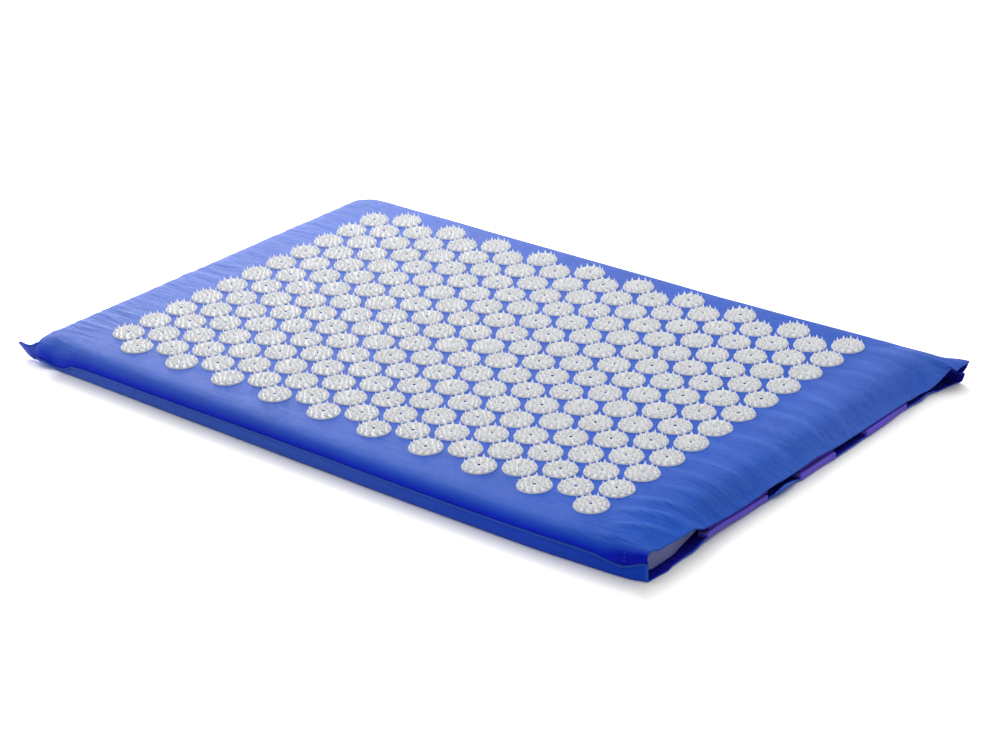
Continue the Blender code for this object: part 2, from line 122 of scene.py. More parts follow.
# How far the mouth's back corner is pulled out, at the top and at the foot
TOP_PULL = (
    (0.168, 0.0), (0.181, 0.0015), (0.190, 0.0032), (0.197, 0.0067), (0.200, 0.0097), (0.203, 0.0125),
    (0.208, 0.0158), (0.212, 0.0190), (0.216, 0.0196),
)
FOOT_PULL = (
    (0.180, 0.0), (0.197, 0.0034), (0.206, 0.0050), (0.2105, 0.0064), (0.2150, 0.0086),
    (0.2170, 0.0100),
)
# How far the upper lip hangs below the panel at the mouth's edge, from the front corner to the back
LIP_DROP = (
    (-0.212, 0.0006), (-0.205, 0.0016), (-0.199, 0.0030), (-0.194, 0.0052), (-0.189, 0.0066),
    (-0.183, 0.0056), (-0.1735, 0.0070), (-0.164, 0.0078), (-0.155, 0.0077), (-0.1475, 0.0082),
    (-0.141, 0.0104), (-0.135, 0.0128), (-0.125, 0.0140), (-0.115, 0.0151), (-0.094, 0.0166),
    (-0.062, 0.0164), (-0.051, 0.0153), (-0.040, 0.0151), (-0.029, 0.0160), (-0.018, 0.0162),
    (-0.007, 0.0161), (0.0155, 0.0157), (0.027, 0.0163), (0.038, 0.0174), (0.050, 0.0181),
    (0.085, 0.0186), (0.150, 0.0188), (0.157, 0.0196), (0.180, 0.0204), (0.188, 0.0190),
    (0.1955, 0.0150), (0.1988, 0.0096), (0.2014, 0.0054), (0.2042, 0.0090), (0.2065, 0.0074),
    (0.209, 0.0044), (0.212, 0.0032), (0.216, 0.0020),
)
# How far the lower lip is lifted off the ground at the mouth's edge
LIP_LIFT = (
    (-0.200, 0.0), (-0.170, 0.0005), (-0.150, 0.0012), (-0.132, 0.0022), (-0.124, 0.0024),
    (-0.052, 0.0010), (-0.040, 0.0052), (-0.032, 0.0068), (-0.022, 0.0052), (-0.010, 0.0012),
    (-0.004, 0.0006), (0.086, 0.0006), (0.150, 0.0006), (0.162, 0.0012), (0.175, 0.0020),
    (0.185, 0.0012), (0.195, 0.0),
)
# How far the lower lip's edge stands out of line along the mouth
LIP_STEP = (
    (-0.205, 0.0006), (-0.191, 0.0018), (-0.184, 0.0026), (-0.177, 0.0014), (-0.166, 0.0015),
    (-0.150, 0.0026), (-0.139, 0.0019), (-0.111, 0.0006), (-0.087, 0.0007), (-0.060, -0.0001),
    (-0.050, 0.0010), (-0.041, 0.0074), (-0.032, 0.0092), (-0.022, 0.0072), (-0.010, 0.0018),
    (0.020, 0.0012), (0.045, 0.0024), (0.090, 0.0020), (0.120, 0.0014), (0.141, 0.0001),
    (0.156, 0.0014), (0.170, 0.0040), (0.190, 0.0010), (0.205, 0.0002),
)
# Share of the upper lip's drop reached on the way to the mouth's edge
LIP_EASE = (
    (0.2860, 0.0), (0.2930, 0.012), (0.3000, 0.042), (0.3060, 0.094), (0.3103, 0.160), (0.3140, 0.260),
    (0.3175, 0.410), (0.3210, 0.590), (0.3245, 0.770), (0.3280, 0.920), (0.3303, 1.0),
)
# How far the slab's cut end reaches past its square end, along the mouth
FOAM_REACH = (
    (-0.200, 0.0135), (-0.190, 0.0152), (-0.164, 0.0146), (-0.159, 0.0110), (-0.153, 0.0040),
    (-0.148, 0.0), (0.150, 0.0), (0.160, 0.0060), (0.170, 0.0150), (0.178, 0.0186), (0.190, 0.0186),
    (0.200, 0.0150),
)
# Soft folds of the mouth's margin: start, end, height and half width of each
MARGIN_FOLDS = (
    ((0.262, -0.093), (0.326, -0.091), 0.0015, 0.0042), ((0.262, -0.069), (0.326, -0.068), 0.0016, 0.0048),
    ((0.268, -0.150), (0.328, -0.128), 0.0021, 0.0040), ((0.275, -0.168), (0.331, -0.146), 0.0023, 0.0040),
    ((0.285, -0.190), (0.331, -0.164), 0.0022, 0.0034), ((0.268, -0.122), (0.326, -0.108), 0.0012, 0.0034),
    ((0.262, -0.040), (0.318, -0.046), 0.0011, 0.0046), ((0.262, -0.018), (0.328, -0.014), 0.0015, 0.0050),
    ((0.262, 0.008), (0.316, 0.012), 0.0010, 0.0040), ((0.262, 0.033), (0.328, 0.034), 0.0015, 0.0050),
    ((0.266, 0.050), (0.316, 0.052), 0.0011, 0.0040), ((0.270, 0.080), (0.330, 0.066), 0.0017, 0.0056),
    ((0.262, 0.104), (0.318, 0.100), 0.0012, 0.0048), ((0.266, 0.128), (0.322, 0.136), 0.0012, 0.0048),
    ((0.272, 0.155), (0.326, 0.150), 0.0014, 0.0056), ((0.268, 0.180), (0.340, 0.196), 0.0015, 0.0056),
    ((0.285, 0.196), (0.345, 0.205), 0.0010, 0.0046),
)
# Centre line of the corner ear with its half height and half thickness
EAR_LINE = (
    (-0.3220, -0.2000, 0.0130, 0.0100, 0.0030), (-0.3290, -0.2060, 0.0130, 0.0104, 0.0028),
    (-0.3350, -0.2086, 0.0114, 0.0100, 0.0024), (-0.3410, -0.2096, 0.0093, 0.0086, 0.0018),
    (-0.3470, -0.2100, 0.0087, 0.0079, 0.0014), (-0.3530, -0.2098, 0.0100, 0.0067, 0.0012),
    (-0.3580, -0.2096, 0.0120, 0.0039, 0.0009), (-0.3612, -0.2098, 0.0134, 0.0010, 0.0006),
)
CLOSURES = (("front", -0.1299, -0.0519), ("middle", -0.0080, 0.0400), ("back", 0.0865, 0.1485))
# Number, radius and first angle of the spikes in each ring of a disc
SPIKE_RINGS = ((12, 0.0119, 0.0), (9, 0.0083, 0.30), (6, 0.0047, 0.15))
# Height and half width of a spike, from its spread foot up, as shares of its height and its foot
SPIKE_LINE = ((0.24, 0.58), (0.58, 0.34))


def length(name, description, default):
    return bpy.props.FloatProperty(
        name=name, description=description, default=default, unit="LENGTH", precision=4
    )


def share(name, description, default):
    return bpy.props.FloatProperty(
        name=name, description=description, default=default, min=0.0, max=1.0, subtype="FACTOR"
    )


def colour(name, description, default):
    return bpy.props.FloatVectorProperty(
        name=name, description=description, default=default, size=3, min=0.0, max=1.0, subtype="COLOR"
    )


def bearing(name, description, default):
    return bpy.props.FloatProperty(
        name=name, description=description, default=math.radians(default), subtype="ANGLE"
    )


def amount(name, description, default, subtype="NONE"):
    return bpy.props.FloatProperty(name=name, description=description, default=default, subtype=subtype)


class CoverSizes(bpy.types.PropertyGroup):
    core_end: length("Core end", "Where the flat of the cloth starts at the closed end", -0.3073)
    core_half_width: length("Core half width", "Half the width of the cloth's flat core", 0.188)
    flat_level: length("Flat level", "Height of the cloth between the discs", CLOTH_LEVEL)
    seam_level: length("Seam level", "Height of the seam at the back and the closed end", 0.0115)
    reach: length("Reach", "How far the sides stand out from the flat core", 0.0230)
    end_pull: length("End pull", "How far the closed end is drawn out at its front corner", 0.0066)
    corner_fill: share("Corner fill", "How much squarer than round the closed end's front corner is", 0.20)
    cloth: length("Cloth", "Thickness of one layer of cotton", 0.0008)
    ripple_height: length("Ripple height", "Height of the short ripples at the closed end", 0.0012)
    ripple_spacing: length("Ripple spacing", "Distance between the short ripples", 0.0180)
    welt_reach: length("Welt reach", "Half the width of the sewn edge", 0.0014)
    welt_rise: length("Welt rise", "Half the height of the sewn edge", 0.0010)


class MouthSizes(bpy.types.PropertyGroup):
    hem_line: length("Hem line", "Where the panels end and the hems start", PANEL_END)
    edge: length("Edge", "Where the mouth's folded edge is", 0.33032)
    fold_radius: length("Fold radius", "Radius of the hem's folded edge", 0.0009)
    front_end: length("Front end", "Where the lips' loose cloth ends at the front", -0.192)
    back_end: length("Back end", "Where the lips' loose cloth ends at the back", 0.1968)
    tape_width: length("Tape width", "Width of the hook and loop tape", 0.0110)
    tape_reach: length("Tape reach", "How far the tapes reach past the mouth's folded edge", 0.0012)
    tape_sunk: length("Tape sunk", "How far the soft lower tape sinks into its lip", 0.0014)
    hook_tape: length("Hook tape", "Thickness of the upper, hooked tape", 0.0015)
    loop_tape: length("Loop tape", "Thickness of the lower tape with its pile", 0.0052)


class DiscSizes(bpy.types.PropertyGroup):
    diameter: length("Diameter", "Width of a spike disc", 0.0288)
    plate: length("Plate", "Thickness of a disc's plate", 0.0014)
    rim: length("Rim", "Width of the flat rim round the spikes", 0.0006)
    bevel: share("Bevel", "Width of the plate's top as a share of its foot", 0.93)
    spike_height: length("Spike height", "Height of a spike above the plate's sunk floor", 0.0046)
    spike_half_width: length(
        "Spike half width", "Half the width of a spike's foot across the disc's radius", 0.0022
    )
    spike_half_depth: length("Spike half depth", "Half the depth of a spike's foot along the radius", 0.0013)
    hole: length("Hole", "Radius of the hole in a disc's centre", 0.0015)
    columns: bpy.props.IntProperty(name="Columns", description="Columns of discs", default=20, min=2)
    long_column: bpy.props.IntProperty(
        name="Discs in a column", description="Discs in a long column; a short one has one less",
        default=12, min=2,
    )


class FoamSizes(bpy.types.PropertyGroup):
    edge_radius: length("Edge radius", "Rounding of the slab's edges under the cover", 0.0070)
    mouth_radius: length("Mouth radius", "Rounding of the cut end at the mouth", 0.0016)
    unevenness: length("Unevenness", "How far the slab's faces wander", 0.0002)


class MatColours(bpy.types.PropertyGroup):
    cotton: colour("Cotton", "Royal blue of the cover", (0.015, 0.098, 0.570))
    # Painted shade: the blue laid where shade falls, under the shoulders, in the tucks, on the low band and
    # on the welts' and ear's shaded sides
    shade_cotton: colour("Deep cotton", "Blue in the tucks and under the shoulder", (0.003, 0.020, 0.700))
    inner_cotton: colour("Inner cotton", "Shaded blue of the hems' inner side", (0.008, 0.006, 0.300))
    # Painted highlight: paler blue on the crests of the folds, the welts' tops, the ear's crease and the
    # lower lip's folded edge; on the folds partly wear as well
    highlight_cotton: colour("Highlight cotton", "Blue on the crests of the folds", (0.090, 0.240, 0.800))
    thread: colour("Thread", "Sewing thread", (0.024, 0.115, 0.600))
    disc: colour("Disc", "Plastic of the spike tips", (0.90, 0.91, 0.93))
    # Painted shade: greyer plastic on the floor between the spikes, where shade falls
    disc_floor_shade: colour("Disc floor", "Plastic between the spikes", (0.83, 0.85, 0.89))
    foam: colour("Foam", "Grey foam", (0.300, 0.305, 0.350))
    foam_pore: colour("Foam pore", "Pores of the foam", (0.170, 0.173, 0.200))
    # Painted bounce light: the blue that the cover throws on the foam near its cut end
    foam_blue_bounce: colour("Foam end", "Foam near its cut end, tinted by the blue round it", (0.240, 0.260, 0.620))
    loop_tape: colour("Loop tape", "Soft violet tape", (0.200, 0.130, 0.980))
    hook_tape: colour("Hook tape", "Stiff purple tape", (0.070, 0.012, 0.420))
    floor: colour("Floor", "Pale floor", (0.88, 0.88, 0.84))


class StageSizes(bpy.types.PropertyGroup):
    lens: bpy.props.FloatProperty(name="Lens", description="Focal length", default=95.66, unit="CAMERA")
    azimuth: bearing("Azimuth", "Angle of the view round the mat", 40.786)
    elevation: bearing("Elevation", "Angle of the view above the floor", 25.07)
    roll: bearing("Roll", "Turn of the camera about its line of sight", -2.335)
    camera_place: bpy.props.FloatVectorProperty(
        name="Camera place", description="Where the camera stands", default=(1.36446, -1.56054, 0.96837),
        size=3, subtype="XYZ", unit="LENGTH",
    )
    sky: amount("Sky", "Strength of the even light", 0.40)
    top_power: amount("Top power", "Power of the large soft lamp overhead", 38.0, "POWER")
    key_power: amount("Key power", "Power of the soft lamp high on the far left", 22.0, "POWER")
    low_power: amount("Low power", "Power of the small soft lamp past the far corner", 4.0, "POWER")
    floor_lift: amount("Floor lift", "How much paler the open floor is for the camera only", 0.90)
    # Painted shadow: a smaller paling beside the front and the mouth leaves the floor darker there
    foot_lift: amount("Foot lift", "The same beside the mat, where its shadow lies", 0.12)


# Lines and sections


def slope_at(table, number):
    """Slope of the smooth line at one of the table's own places."""
    if number in (0, len(table) - 1):
        return 0.0
    (x0, y0), (x1, y1), (x2, y2) = table[number - 1: number + 2]
    before, after = (y1 - y0) / (x1 - x0), (y2 - y1) / (x2 - x1)
    if before * after <= 0.0:
        return 0.0
    return 2.0 * before * after / (before + after)


def value_at(table, place):
    """Value of a smooth line through the table's (place, value) pairs, which never overshoots them."""
    if place <= table[0][0]:
        return table[0][1]
    if place >= table[-1][0]:
        return table[-1][1]
    number = bisect.bisect_right([row[0] for row in table], place) - 1
    (x0, y0), (x1, y1) = table[number], table[number + 1]
    width = x1 - x0
    t = (place - x0) / width
    start = slope_at(table, number) * width
    end = slope_at(table, number + 1) * width
    return (
        (2 * t**3 - 3 * t**2 + 1) * y0
        + (t**3 - 2 * t**2 + t) * start
        + (3 * t**2 - 2 * t**3) * y1
        + (t**3 - t**2) * end
    )


def smooth_line(points, steps=8):
    """A dense line that passes smoothly through the points."""
    points = [Vector(point) for point in points]
    ends = [points[0], *points, points[-1]]
    dense = []
    for a, b, c, d in zip(ends, ends[1:], ends[2:], ends[3:]):
        for step in range(steps):
            t = step / steps
            bend = (c - a) * t + (2 * a - 5 * b + 4 * c - d) * t**2 + (3 * b - a - 3 * c + d) * t**3
            dense.append(b + bend / 2)
    return [*dense, points[-1]]


def eased(value):
    """Eases a share from 0 to 1, level at both ends."""
    value = min(max(value, 0.0), 1.0)
    return value * value * (3.0 - 2.0 * value)


def evenly(start, end, spacing):
    """Values from start to end, both included, about a spacing apart."""
    count = max(1, round(abs(end - start) / spacing))
    return [start + (end - start) * step / count for step in range(count + 1)]


class Section:
    """A cloth's section, looked up by the way along the cloth."""

    def __init__(self, points, height):
        self.line = smooth_line(points)
        self.ways = [0.0]
        for before, after in zip(self.line, self.line[1:]):
            step = Vector((after.x - before.x, (after.y - before.y) * height))
            self.ways.append(self.ways[-1] + step.length)
        self.length = self.ways[-1]

    def at(self, way):
        """(distance out, share of the height) at a way along the cloth."""
        way = min(max(way, 0.0), self.length)
        number = min(bisect.bisect_right(self.ways, way) - 1, len(self.line) - 2)
        step = self.ways[number + 1] - self.ways[number]
        return self.line[number].lerp(self.line[number + 1], (way - self.ways[number]) / step)


class Cover:
    """Where the two cloths of the cover lie. A place on a cloth is (u, v), measured along the cloth."""

    def __init__(self, scene):
        self.sizes = scene.mat_cover
        self.mouth = scene.mat_mouth
        self.hem_width = self.mouth.edge - self.mouth.hem_line
        self.shoulder = Section(SHOULDER_LINE, self.sizes.flat_level - self.sizes.seam_level)
        self.foot = Section(FOOT_LINE, self.sizes.seam_level)

    def station(self, u, v):
        """(core point, outward direction, way out) of a place on a cloth."""
        core_end, half = self.sizes.core_end, self.sizes.core_half_width
        past_end = max(core_end - u, 0.0)
        past_side = max(abs(v) - half, 0.0)
        side = math.copysign(1.0, v)
        core = Vector((max(u, core_end), side * min(abs(v), half)))
        way = max(past_end, past_side)
        if way == 0.0:
            return core, Vector((0.0, 0.0)), 0.0
        if past_side >= past_end:
            turn = math.radians(45.0) * past_end / past_side
        else:
            turn = math.radians(90.0 - 45.0 * past_side / past_end)
        return core, Vector((-math.sin(turn), side * math.cos(turn))), way

    def seam_height(self, rim):
        """Height of the seam at a point of the rim."""
        return value_at(FRONT_SEAM, rim.x) if rim.y < 0.0 else self.sizes.seam_level

    def swell(self, rim):
        """How far the filled sides stand out at a point of the rim."""
        return value_at(FRONT_SWELL if rim.y < 0.0 else BACK_SWELL, rim.x)

    def drawn_out(self, x, y):
        """How far the closed end is drawn out at a place, most at its front corner."""
        half = self.sizes.core_half_width + self.sizes.reach
        return self.sizes.end_pull * (half - y) / (2.0 * half) * eased((-0.2860 - x) / 0.020)

    def hem_share(self, u):
        return min(max((u - self.mouth.hem_line) / self.hem_width, 0.0), 1.0)

    def pull(self, place, hem_share):
        """How far the hem's back corner is pulled out at a place."""
        rise = min(max(place.z / self.sizes.flat_level, 0.0), 1.0)
        foot = value_at(FOOT_PULL, place.y)
        return hem_share * (foot + (value_at(TOP_PULL, place.y) - foot) * rise)

    def rim_place(self, core, direction, out, height):
        """A point at a distance out of the core, at a height, with the swell of the filled side."""
        rim = core + direction * self.sizes.reach
        share_out = out / self.sizes.reach
        filled = 2.0 * self.sizes.corner_fill * abs(direction.x * direction.y) * (share_out**2 + share_out**4)
        at = core + direction * (out * (1.0 + filled * (rim.y < 0.0)) + self.swell(rim) * share_out)
        return Vector((at.x - self.drawn_out(at.x, at.y), at.y, height))

    def hills(self, x, y):
        """(height, crest share) of the ripples and folds of the top cloth at a place."""
        rise = 0.0
        closed = eased((-0.2835 - x) / 0.010)
        if closed > 0.0:
            spacing = self.sizes.ripple_spacing
            wave = noise.noise(Vector((y / spacing * 1.3, x * 9.0, 3.7)))
            ridge = max(0.0, 1.0 - abs(wave) * 2.6) ** 2
            uneven = 0.6 + 0.8 * noise.noise(Vector((y * 9, 0, 1)))
            rise += closed * self.sizes.ripple_height * ridge * uneven
        if x > 0.25:
            for start, end, height, half_width in MARGIN_FOLDS:
                along = Vector(end) - Vector(start)
                offset = Vector((x, y)) - Vector(start)
                share_along = offset.dot(along) / along.length_squared
                if 0.0 < share_along < 1.0:
                    aside = abs(along.cross(offset)) / along.length / half_width
                    if aside < 3.0:
                        bell = math.exp(-aside * aside) * (1.0 - 0.35 * aside * aside)
                        rise += height * bell * math.sin(math.pi * share_along) ** 0.7
            rise += 0.00045 * eased((x - 0.262) / 0.02) * noise.noise(Vector((x * 30.0, y * 42.0, 8.1)))
        crest = min(max(rise / 0.0018, 0.0), 1.0)
        return rise, crest

    def top_sheet(self, u, v):
        """Where the top cloth's outer face lies, before its hem is folded."""
        core, direction, way = self.station(u, v)
        out, level = self.shoulder.at(way)
        if v > 0.0:
            level += (min(1.0, level * 1.6) - level) * eased((u - 0.316) / 0.014)
        seam = self.seam_height(core + direction * self.sizes.reach)
        place = self.rim_place(core, direction, out, seam + (self.sizes.flat_level - seam) * level)
        hem_share = self.hem_share(u)
        place.z += self.hills(place.x, place.y)[0] * eased((level - 0.55) / 0.4)
        near_back, near_mouth = eased((place.y - 0.19) / 0.01), eased((place.x - 0.25) / 0.03)
        crumple = noise.noise(Vector((place.x * 75.0, 0.3, 5.0))) - 0.2
        place.z += 0.0007 * near_back * near_mouth * level * crumple
        place.x += self.pull(place, hem_share)
        place.z -= value_at(LIP_DROP, place.y) * value_at(LIP_EASE, u) * level
        return place

    def bottom_sheet(self, u, v):
        """Where the bottom cloth's outer face lies, before its hem is folded."""
        core, direction, way = self.station(u, v)
        out, level = self.foot.at(way)
        seam = self.seam_height(core + direction * self.sizes.reach) - self.sizes.welt_rise / 2
        place = self.rim_place(core, direction, out, seam * level)
        hem_share = self.hem_share(u)
        place.x += self.pull(place, hem_share) + value_at(LIP_STEP, place.y) * hem_share
        lift = value_at(LIP_LIFT, place.y) * hem_share**5
        place.z += lift
        place.x -= 0.8 * lift
        place.y += 0.0036 * hem_share * eased((place.y - 0.200) / 0.014)
        if v < -self.sizes.core_half_width:
            rim_x = core.x + direction.x * self.sizes.reach
            place.z += value_at(FOOT_LIFT, rim_x) * (out / self.sizes.reach) ** 2 * (1.0 - level)
        return place

    def inward(self, sheet, u, v):
        """The direction from a cloth's outer face into the cover."""
        along = sheet(u, v) - sheet(u - PROBE, v)
        across = sheet(u, v + PROBE) - sheet(u, v - PROBE)
        face = along.cross(across).normalized()
        return -face if sheet == self.top_sheet else face

    def folded(self, sheet, u, v):
        """A place on a cloth whose hem turns round the mouth's edge and back inside."""
        edge, radius = self.mouth.edge, self.mouth.fold_radius
        past = u - edge
        if past <= 0.0:
            return sheet(u, v)
        if past < math.pi * radius:
            turn = past / radius
            inward = self.inward(sheet, edge, v)
            onward = (sheet(edge, v) - sheet(edge - PROBE, v)).normalized()
            return sheet(edge, v) + onward * radius * math.sin(turn) + inward * radius * (1 - math.cos(turn))
        back = edge - (past - math.pi * radius)
        return sheet(back, v) + self.inward(sheet, back, v) * 2 * radius

    def top(self, u, v):
        return self.folded(self.top_sheet, u, v)

    def bottom(self, u, v):
        return self.folded(self.bottom_sheet, u, v)


# Modelling helpers


def leave_all():
    """Object mode, with nothing selected."""
    if bpy.context.object and bpy.context.object.mode != "OBJECT":
        bpy.ops.object.mode_set(mode="OBJECT")
    bpy.ops.object.select_all(action="DESELECT")


def work_on(piece):
    leave_all()
    piece.select_set(True)
    bpy.context.view_layer.objects.active = piece


def pick_faces(wanted):
    """In edit mode, selects only the faces whose centre and normal pass the test."""
    bpy.ops.mesh.select_mode(type="FACE")
    bpy.ops.mesh.select_all(action="DESELECT")
    mesh = bpy.context.object.data
    shape = bmesh.from_edit_mesh(mesh)
    for face in shape.faces:
        face.select_set(wanted(face.calc_center_median(), face.normal))
    bmesh.update_edit_mesh(mesh)


def lay_cloth(name, us, vs, place, tint=None):
    """A grid whose crossings are laid at place(u, v). Its UV map is the cloth's own, in metres."""
    leave_all()
    bpy.ops.mesh.primitive_grid_add(x_subdivisions=len(us) - 1, y_subdivisions=len(vs) - 1, size=2.0)
    piece = bpy.context.object
    piece.name = piece.data.name = name
    mesh = piece.data
    spots = []
    for vert in mesh.vertices:
        column = round((vert.co.x + 1.0) / 2.0 * (len(us) - 1))
        row = round((vert.co.y + 1.0) / 2.0 * (len(vs) - 1))
        spots.append((us[column], vs[row]))
        vert.co = place(us[column], vs[row])
    own_map = mesh.uv_layers.active.data
    for loop in mesh.loops:
        own_map[loop.index].uv = spots[loop.vertex_index]
    # Painted shade share and crest share for the cotton: crests take a painted highlight, negative crest
    # values the painted shade of the inner side
    shade_shares = mesh.attributes.new("shade_share", "FLOAT", "POINT")
    crests = mesh.attributes.new("crest", "FLOAT", "POINT")
    if tint:
        for number, (u, v) in enumerate(spots):
            shade_shares.data[number].value, crests.data[number].value = tint(u, v)
    mesh.update()
    return piece


def close_tube(piece):
    """Joins the long edges of a grid laid round, and closes its ends."""
    work_on(piece)
    bpy.ops.object.mode_set(mode="EDIT")
    bpy.ops.mesh.select_mode(type="VERT")
    bpy.ops.mesh.select_all(action="SELECT")
    bpy.ops.mesh.remove_doubles(threshold=0.00001)
    bpy.ops.mesh.fill_holes(sides=0)
    bpy.ops.mesh.select_all(action="SELECT")
    bpy.ops.mesh.normals_make_consistent(inside=False)
    bpy.ops.object.mode_set(mode="OBJECT")


def cut_off(piece, name, wanted):
    """Separates the faces that pass the test into a piece of their own."""
    work_on(piece)
    bpy.ops.object.mode_set(mode="EDIT")
    pick_faces(wanted)
    bpy.ops.mesh.separate(type="SELECTED")
    bpy.ops.object.mode_set(mode="OBJECT")
    other = next(obj for obj in bpy.context.selected_objects if obj != piece)
    other.name = other.data.name = name
    return other


def turn_over(piece):
    """Turns the faces of a piece round."""
    work_on(piece)
    bpy.ops.object.mode_set(mode="EDIT")
    bpy.ops.mesh.select_all(action="SELECT")
    bpy.ops.mesh.flip_normals()
    bpy.ops.object.mode_set(mode="OBJECT")


def apply_modifier(piece, kind, **settings):
    work_on(piece)
    modifier = piece.modifiers.new(kind.title(), kind)
    for setting, value in settings.items():
        setattr(modifier, setting, value)
    bpy.ops.object.modifier_apply(modifier=modifier.name)


def thicken(piece, thickness):
    """Gives a cloth its thickness, inwards from its outer face."""
    apply_modifier(piece, "SOLIDIFY", thickness=thickness, offset=-1.0)


def shade(piece, angle=50.0):
    work_on(piece)
    bpy.ops.object.shade_smooth_by_angle(angle=math.radians(angle))


def hand_over(piece, finish, nodes=(), body="cover"):
    """Gives a piece its finish and its body, in place of the CAD nodes that it stands for."""
    if finish:
        piece.data.materials.clear()
        piece.data.materials.append(finish)
    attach(piece, body)
    if nodes:
        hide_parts(*nodes)
    return piece


def scatter(model, name, placements):
    """Copies of a model, each with its own mesh, set down at their placements and joined into one piece."""
    leave_all()
    copies = []
    for number, placement in enumerate(placements):
        mesh = model.data.copy()
        mesh.transform(placement)
        copy = bpy.data.objects.new(f"{name}_{number}", mesh)
        bpy.context.scene.collection.objects.link(copy)
        copies.append(copy)
    for copy in copies:
        copy.select_set(True)
    bpy.context.view_layer.objects.active = copies[0]
    if len(copies) > 1:
        bpy.ops.object.join()
    copies[0].name = copies[0].data.name = name
    return copies[0]


# Finishes


class NodeTree:
    """Adds and joins the nodes of one node tree."""

    def __init__(self, tree):
        self.tree = tree

    def add(self, kind, inputs=None, **settings):
        node = self.tree.nodes.new(kind)
        for setting, value in settings.items():
            setattr(node, setting, value)
        for socket, value in (inputs or {}).items():
            if isinstance(value, bpy.types.NodeSocket):
                self.tree.links.new(value, node.inputs[socket])
            else:
                node.inputs[socket].default_value = value
        return node

    def math(self, operation, *values):
        return self.add("ShaderNodeMath", dict(enumerate(values)), operation=operation).outputs[0]

    def ramp(self, value, low, high, start=0.0, end=1.0):
        """Maps a value from its range low to high onto start to end."""
        sockets = {"Value": value, "From Min": low, "From Max": high, "To Min": start, "To Max": end}
        return self.add("ShaderNodeMapRange", sockets).outputs["Result"]

    def spread(self, value, start=0.0, end=1.0):
        """Maps the range that most of a noise's values lie in onto start to end."""
        return self.ramp(value, NOISE_LOW, NOISE_HIGH, start, end)

    def mix(self, factor, first, second, blend_type="MIX"):
        node = self.add("ShaderNodeMix", {0: factor}, data_type="RGBA", blend_type=blend_type)
        for socket, value in ((6, first), (7, second)):
            if isinstance(value, bpy.types.NodeSocket):
                self.tree.links.new(value, node.inputs[socket])
            else:
                node.inputs[socket].default_value = (*value[:3], 1.0)
        return node.outputs[2]

    def noise(self, vector, scale, detail=3.0, roughness=0.55):
        sockets = {"Vector": vector, "Scale": scale, "Detail": detail, "Roughness": roughness}
        return self.add("ShaderNodeTexNoise", sockets).outputs["Fac"]

    def stretched(self, vector, scales):
        node = self.add("ShaderNodeVectorMath", {0: vector, 1: scales}, operation="MULTIPLY")
        return node.outputs[0]

    def bump(self, height, distance, strength=1.0, normal=None):
        sockets = {"Height": height, "Distance": distance, "Strength": strength}
        if normal:
            sockets["Normal"] = normal
        return self.add("ShaderNodeBump", sockets).outputs["Normal"]


def start_group(name, inputs, outputs):
    """(node group, its builder, its input sockets, its output node), with the given sockets."""
    group = bpy.data.node_groups.new(name, "ShaderNodeTree")
    for label, kind, default in inputs:
        socket = group.interface.new_socket(label, in_out="INPUT", socket_type=kind)
        if default is not None:
            socket.default_value = default
    for label, kind in outputs:
        group.interface.new_socket(label, in_out="OUTPUT", socket_type=kind)
    nodes = NodeTree(group)
    return group, nodes, nodes.add("NodeGroupInput").outputs, nodes.add("NodeGroupOutput")


def plain_weave():
    """Node group: threads over and under each other, with uneven yarn, on a cloth's own map."""
    found = bpy.data.node_groups.get("plain_weave")
    if found:
        return found
    group, nodes, given, out = start_group(
        "plain_weave",
        (("Map", "NodeSocketVector", None), ("Thread", "NodeSocketFloat", 0.0005)),
        (("Height", "NodeSocketFloat"), ("Yarn", "NodeSocketFloat")),
    )
    turns = nodes.math("DIVIDE", math.pi, given["Thread"])
    scaled = nodes.add("ShaderNodeVectorMath", {0: given["Map"], "Scale": turns}, operation="SCALE")
    parts = nodes.add("ShaderNodeSeparateXYZ", {0: scaled.outputs[0]}).outputs
    crossing = nodes.math("MULTIPLY", nodes.math("SINE", parts["X"]), nodes.math("SINE", parts["Y"]))
    warp = nodes.noise(nodes.stretched(given["Map"], (40.0, 1500.0, 1.0)), 1.0, 2.0)
    weft = nodes.noise(nodes.stretched(given["Map"], (1500.0, 40.0, 1.0)), 1.0, 2.0)
    yarn = nodes.math("MULTIPLY", nodes.math("ADD", warp, weft), 0.5)
    height = nodes.math("MULTIPLY_ADD", crossing, 0.35, nodes.math("MULTIPLY", yarn, 0.9))
    nodes.tree.links.new(height, out.inputs["Height"])
    nodes.tree.links.new(yarn, out.inputs["Yarn"])
    return group


def mottle():
    """Node group: a soft cloudy value from broad and fine noise, for dye, dust and moulding marks."""
    found = bpy.data.node_groups.get("mottle")
    if found:
        return found
    group, nodes, given, out = start_group(
        "mottle",
        (
            ("Point", "NodeSocketVector", None),
            ("Broad", "NodeSocketFloat", 14.0),
            ("Fine", "NodeSocketFloat", 160.0),
        ),
        (("Cloud", "NodeSocketFloat"), ("Grain", "NodeSocketFloat")),
    )
    nodes.tree.links.new(nodes.noise(given["Point"], given["Broad"], 4.0), out.inputs["Cloud"])
    nodes.tree.links.new(nodes.noise(given["Point"], given["Fine"], 3.0, 0.65), out.inputs["Grain"])
    return group


def start_finish(name):
    """(material, its builder, its Principled shader, Object coordinates, the piece's own map)."""
    made = bpy.data.materials.new(name)
    made.use_nodes = True
    nodes = NodeTree(made.node_tree)
    shader = made.node_tree.nodes["Principled BSDF"]
    coordinates = nodes.add("ShaderNodeTexCoord").outputs
    return made, nodes, shader, coordinates["Object"], coordinates["UV"]


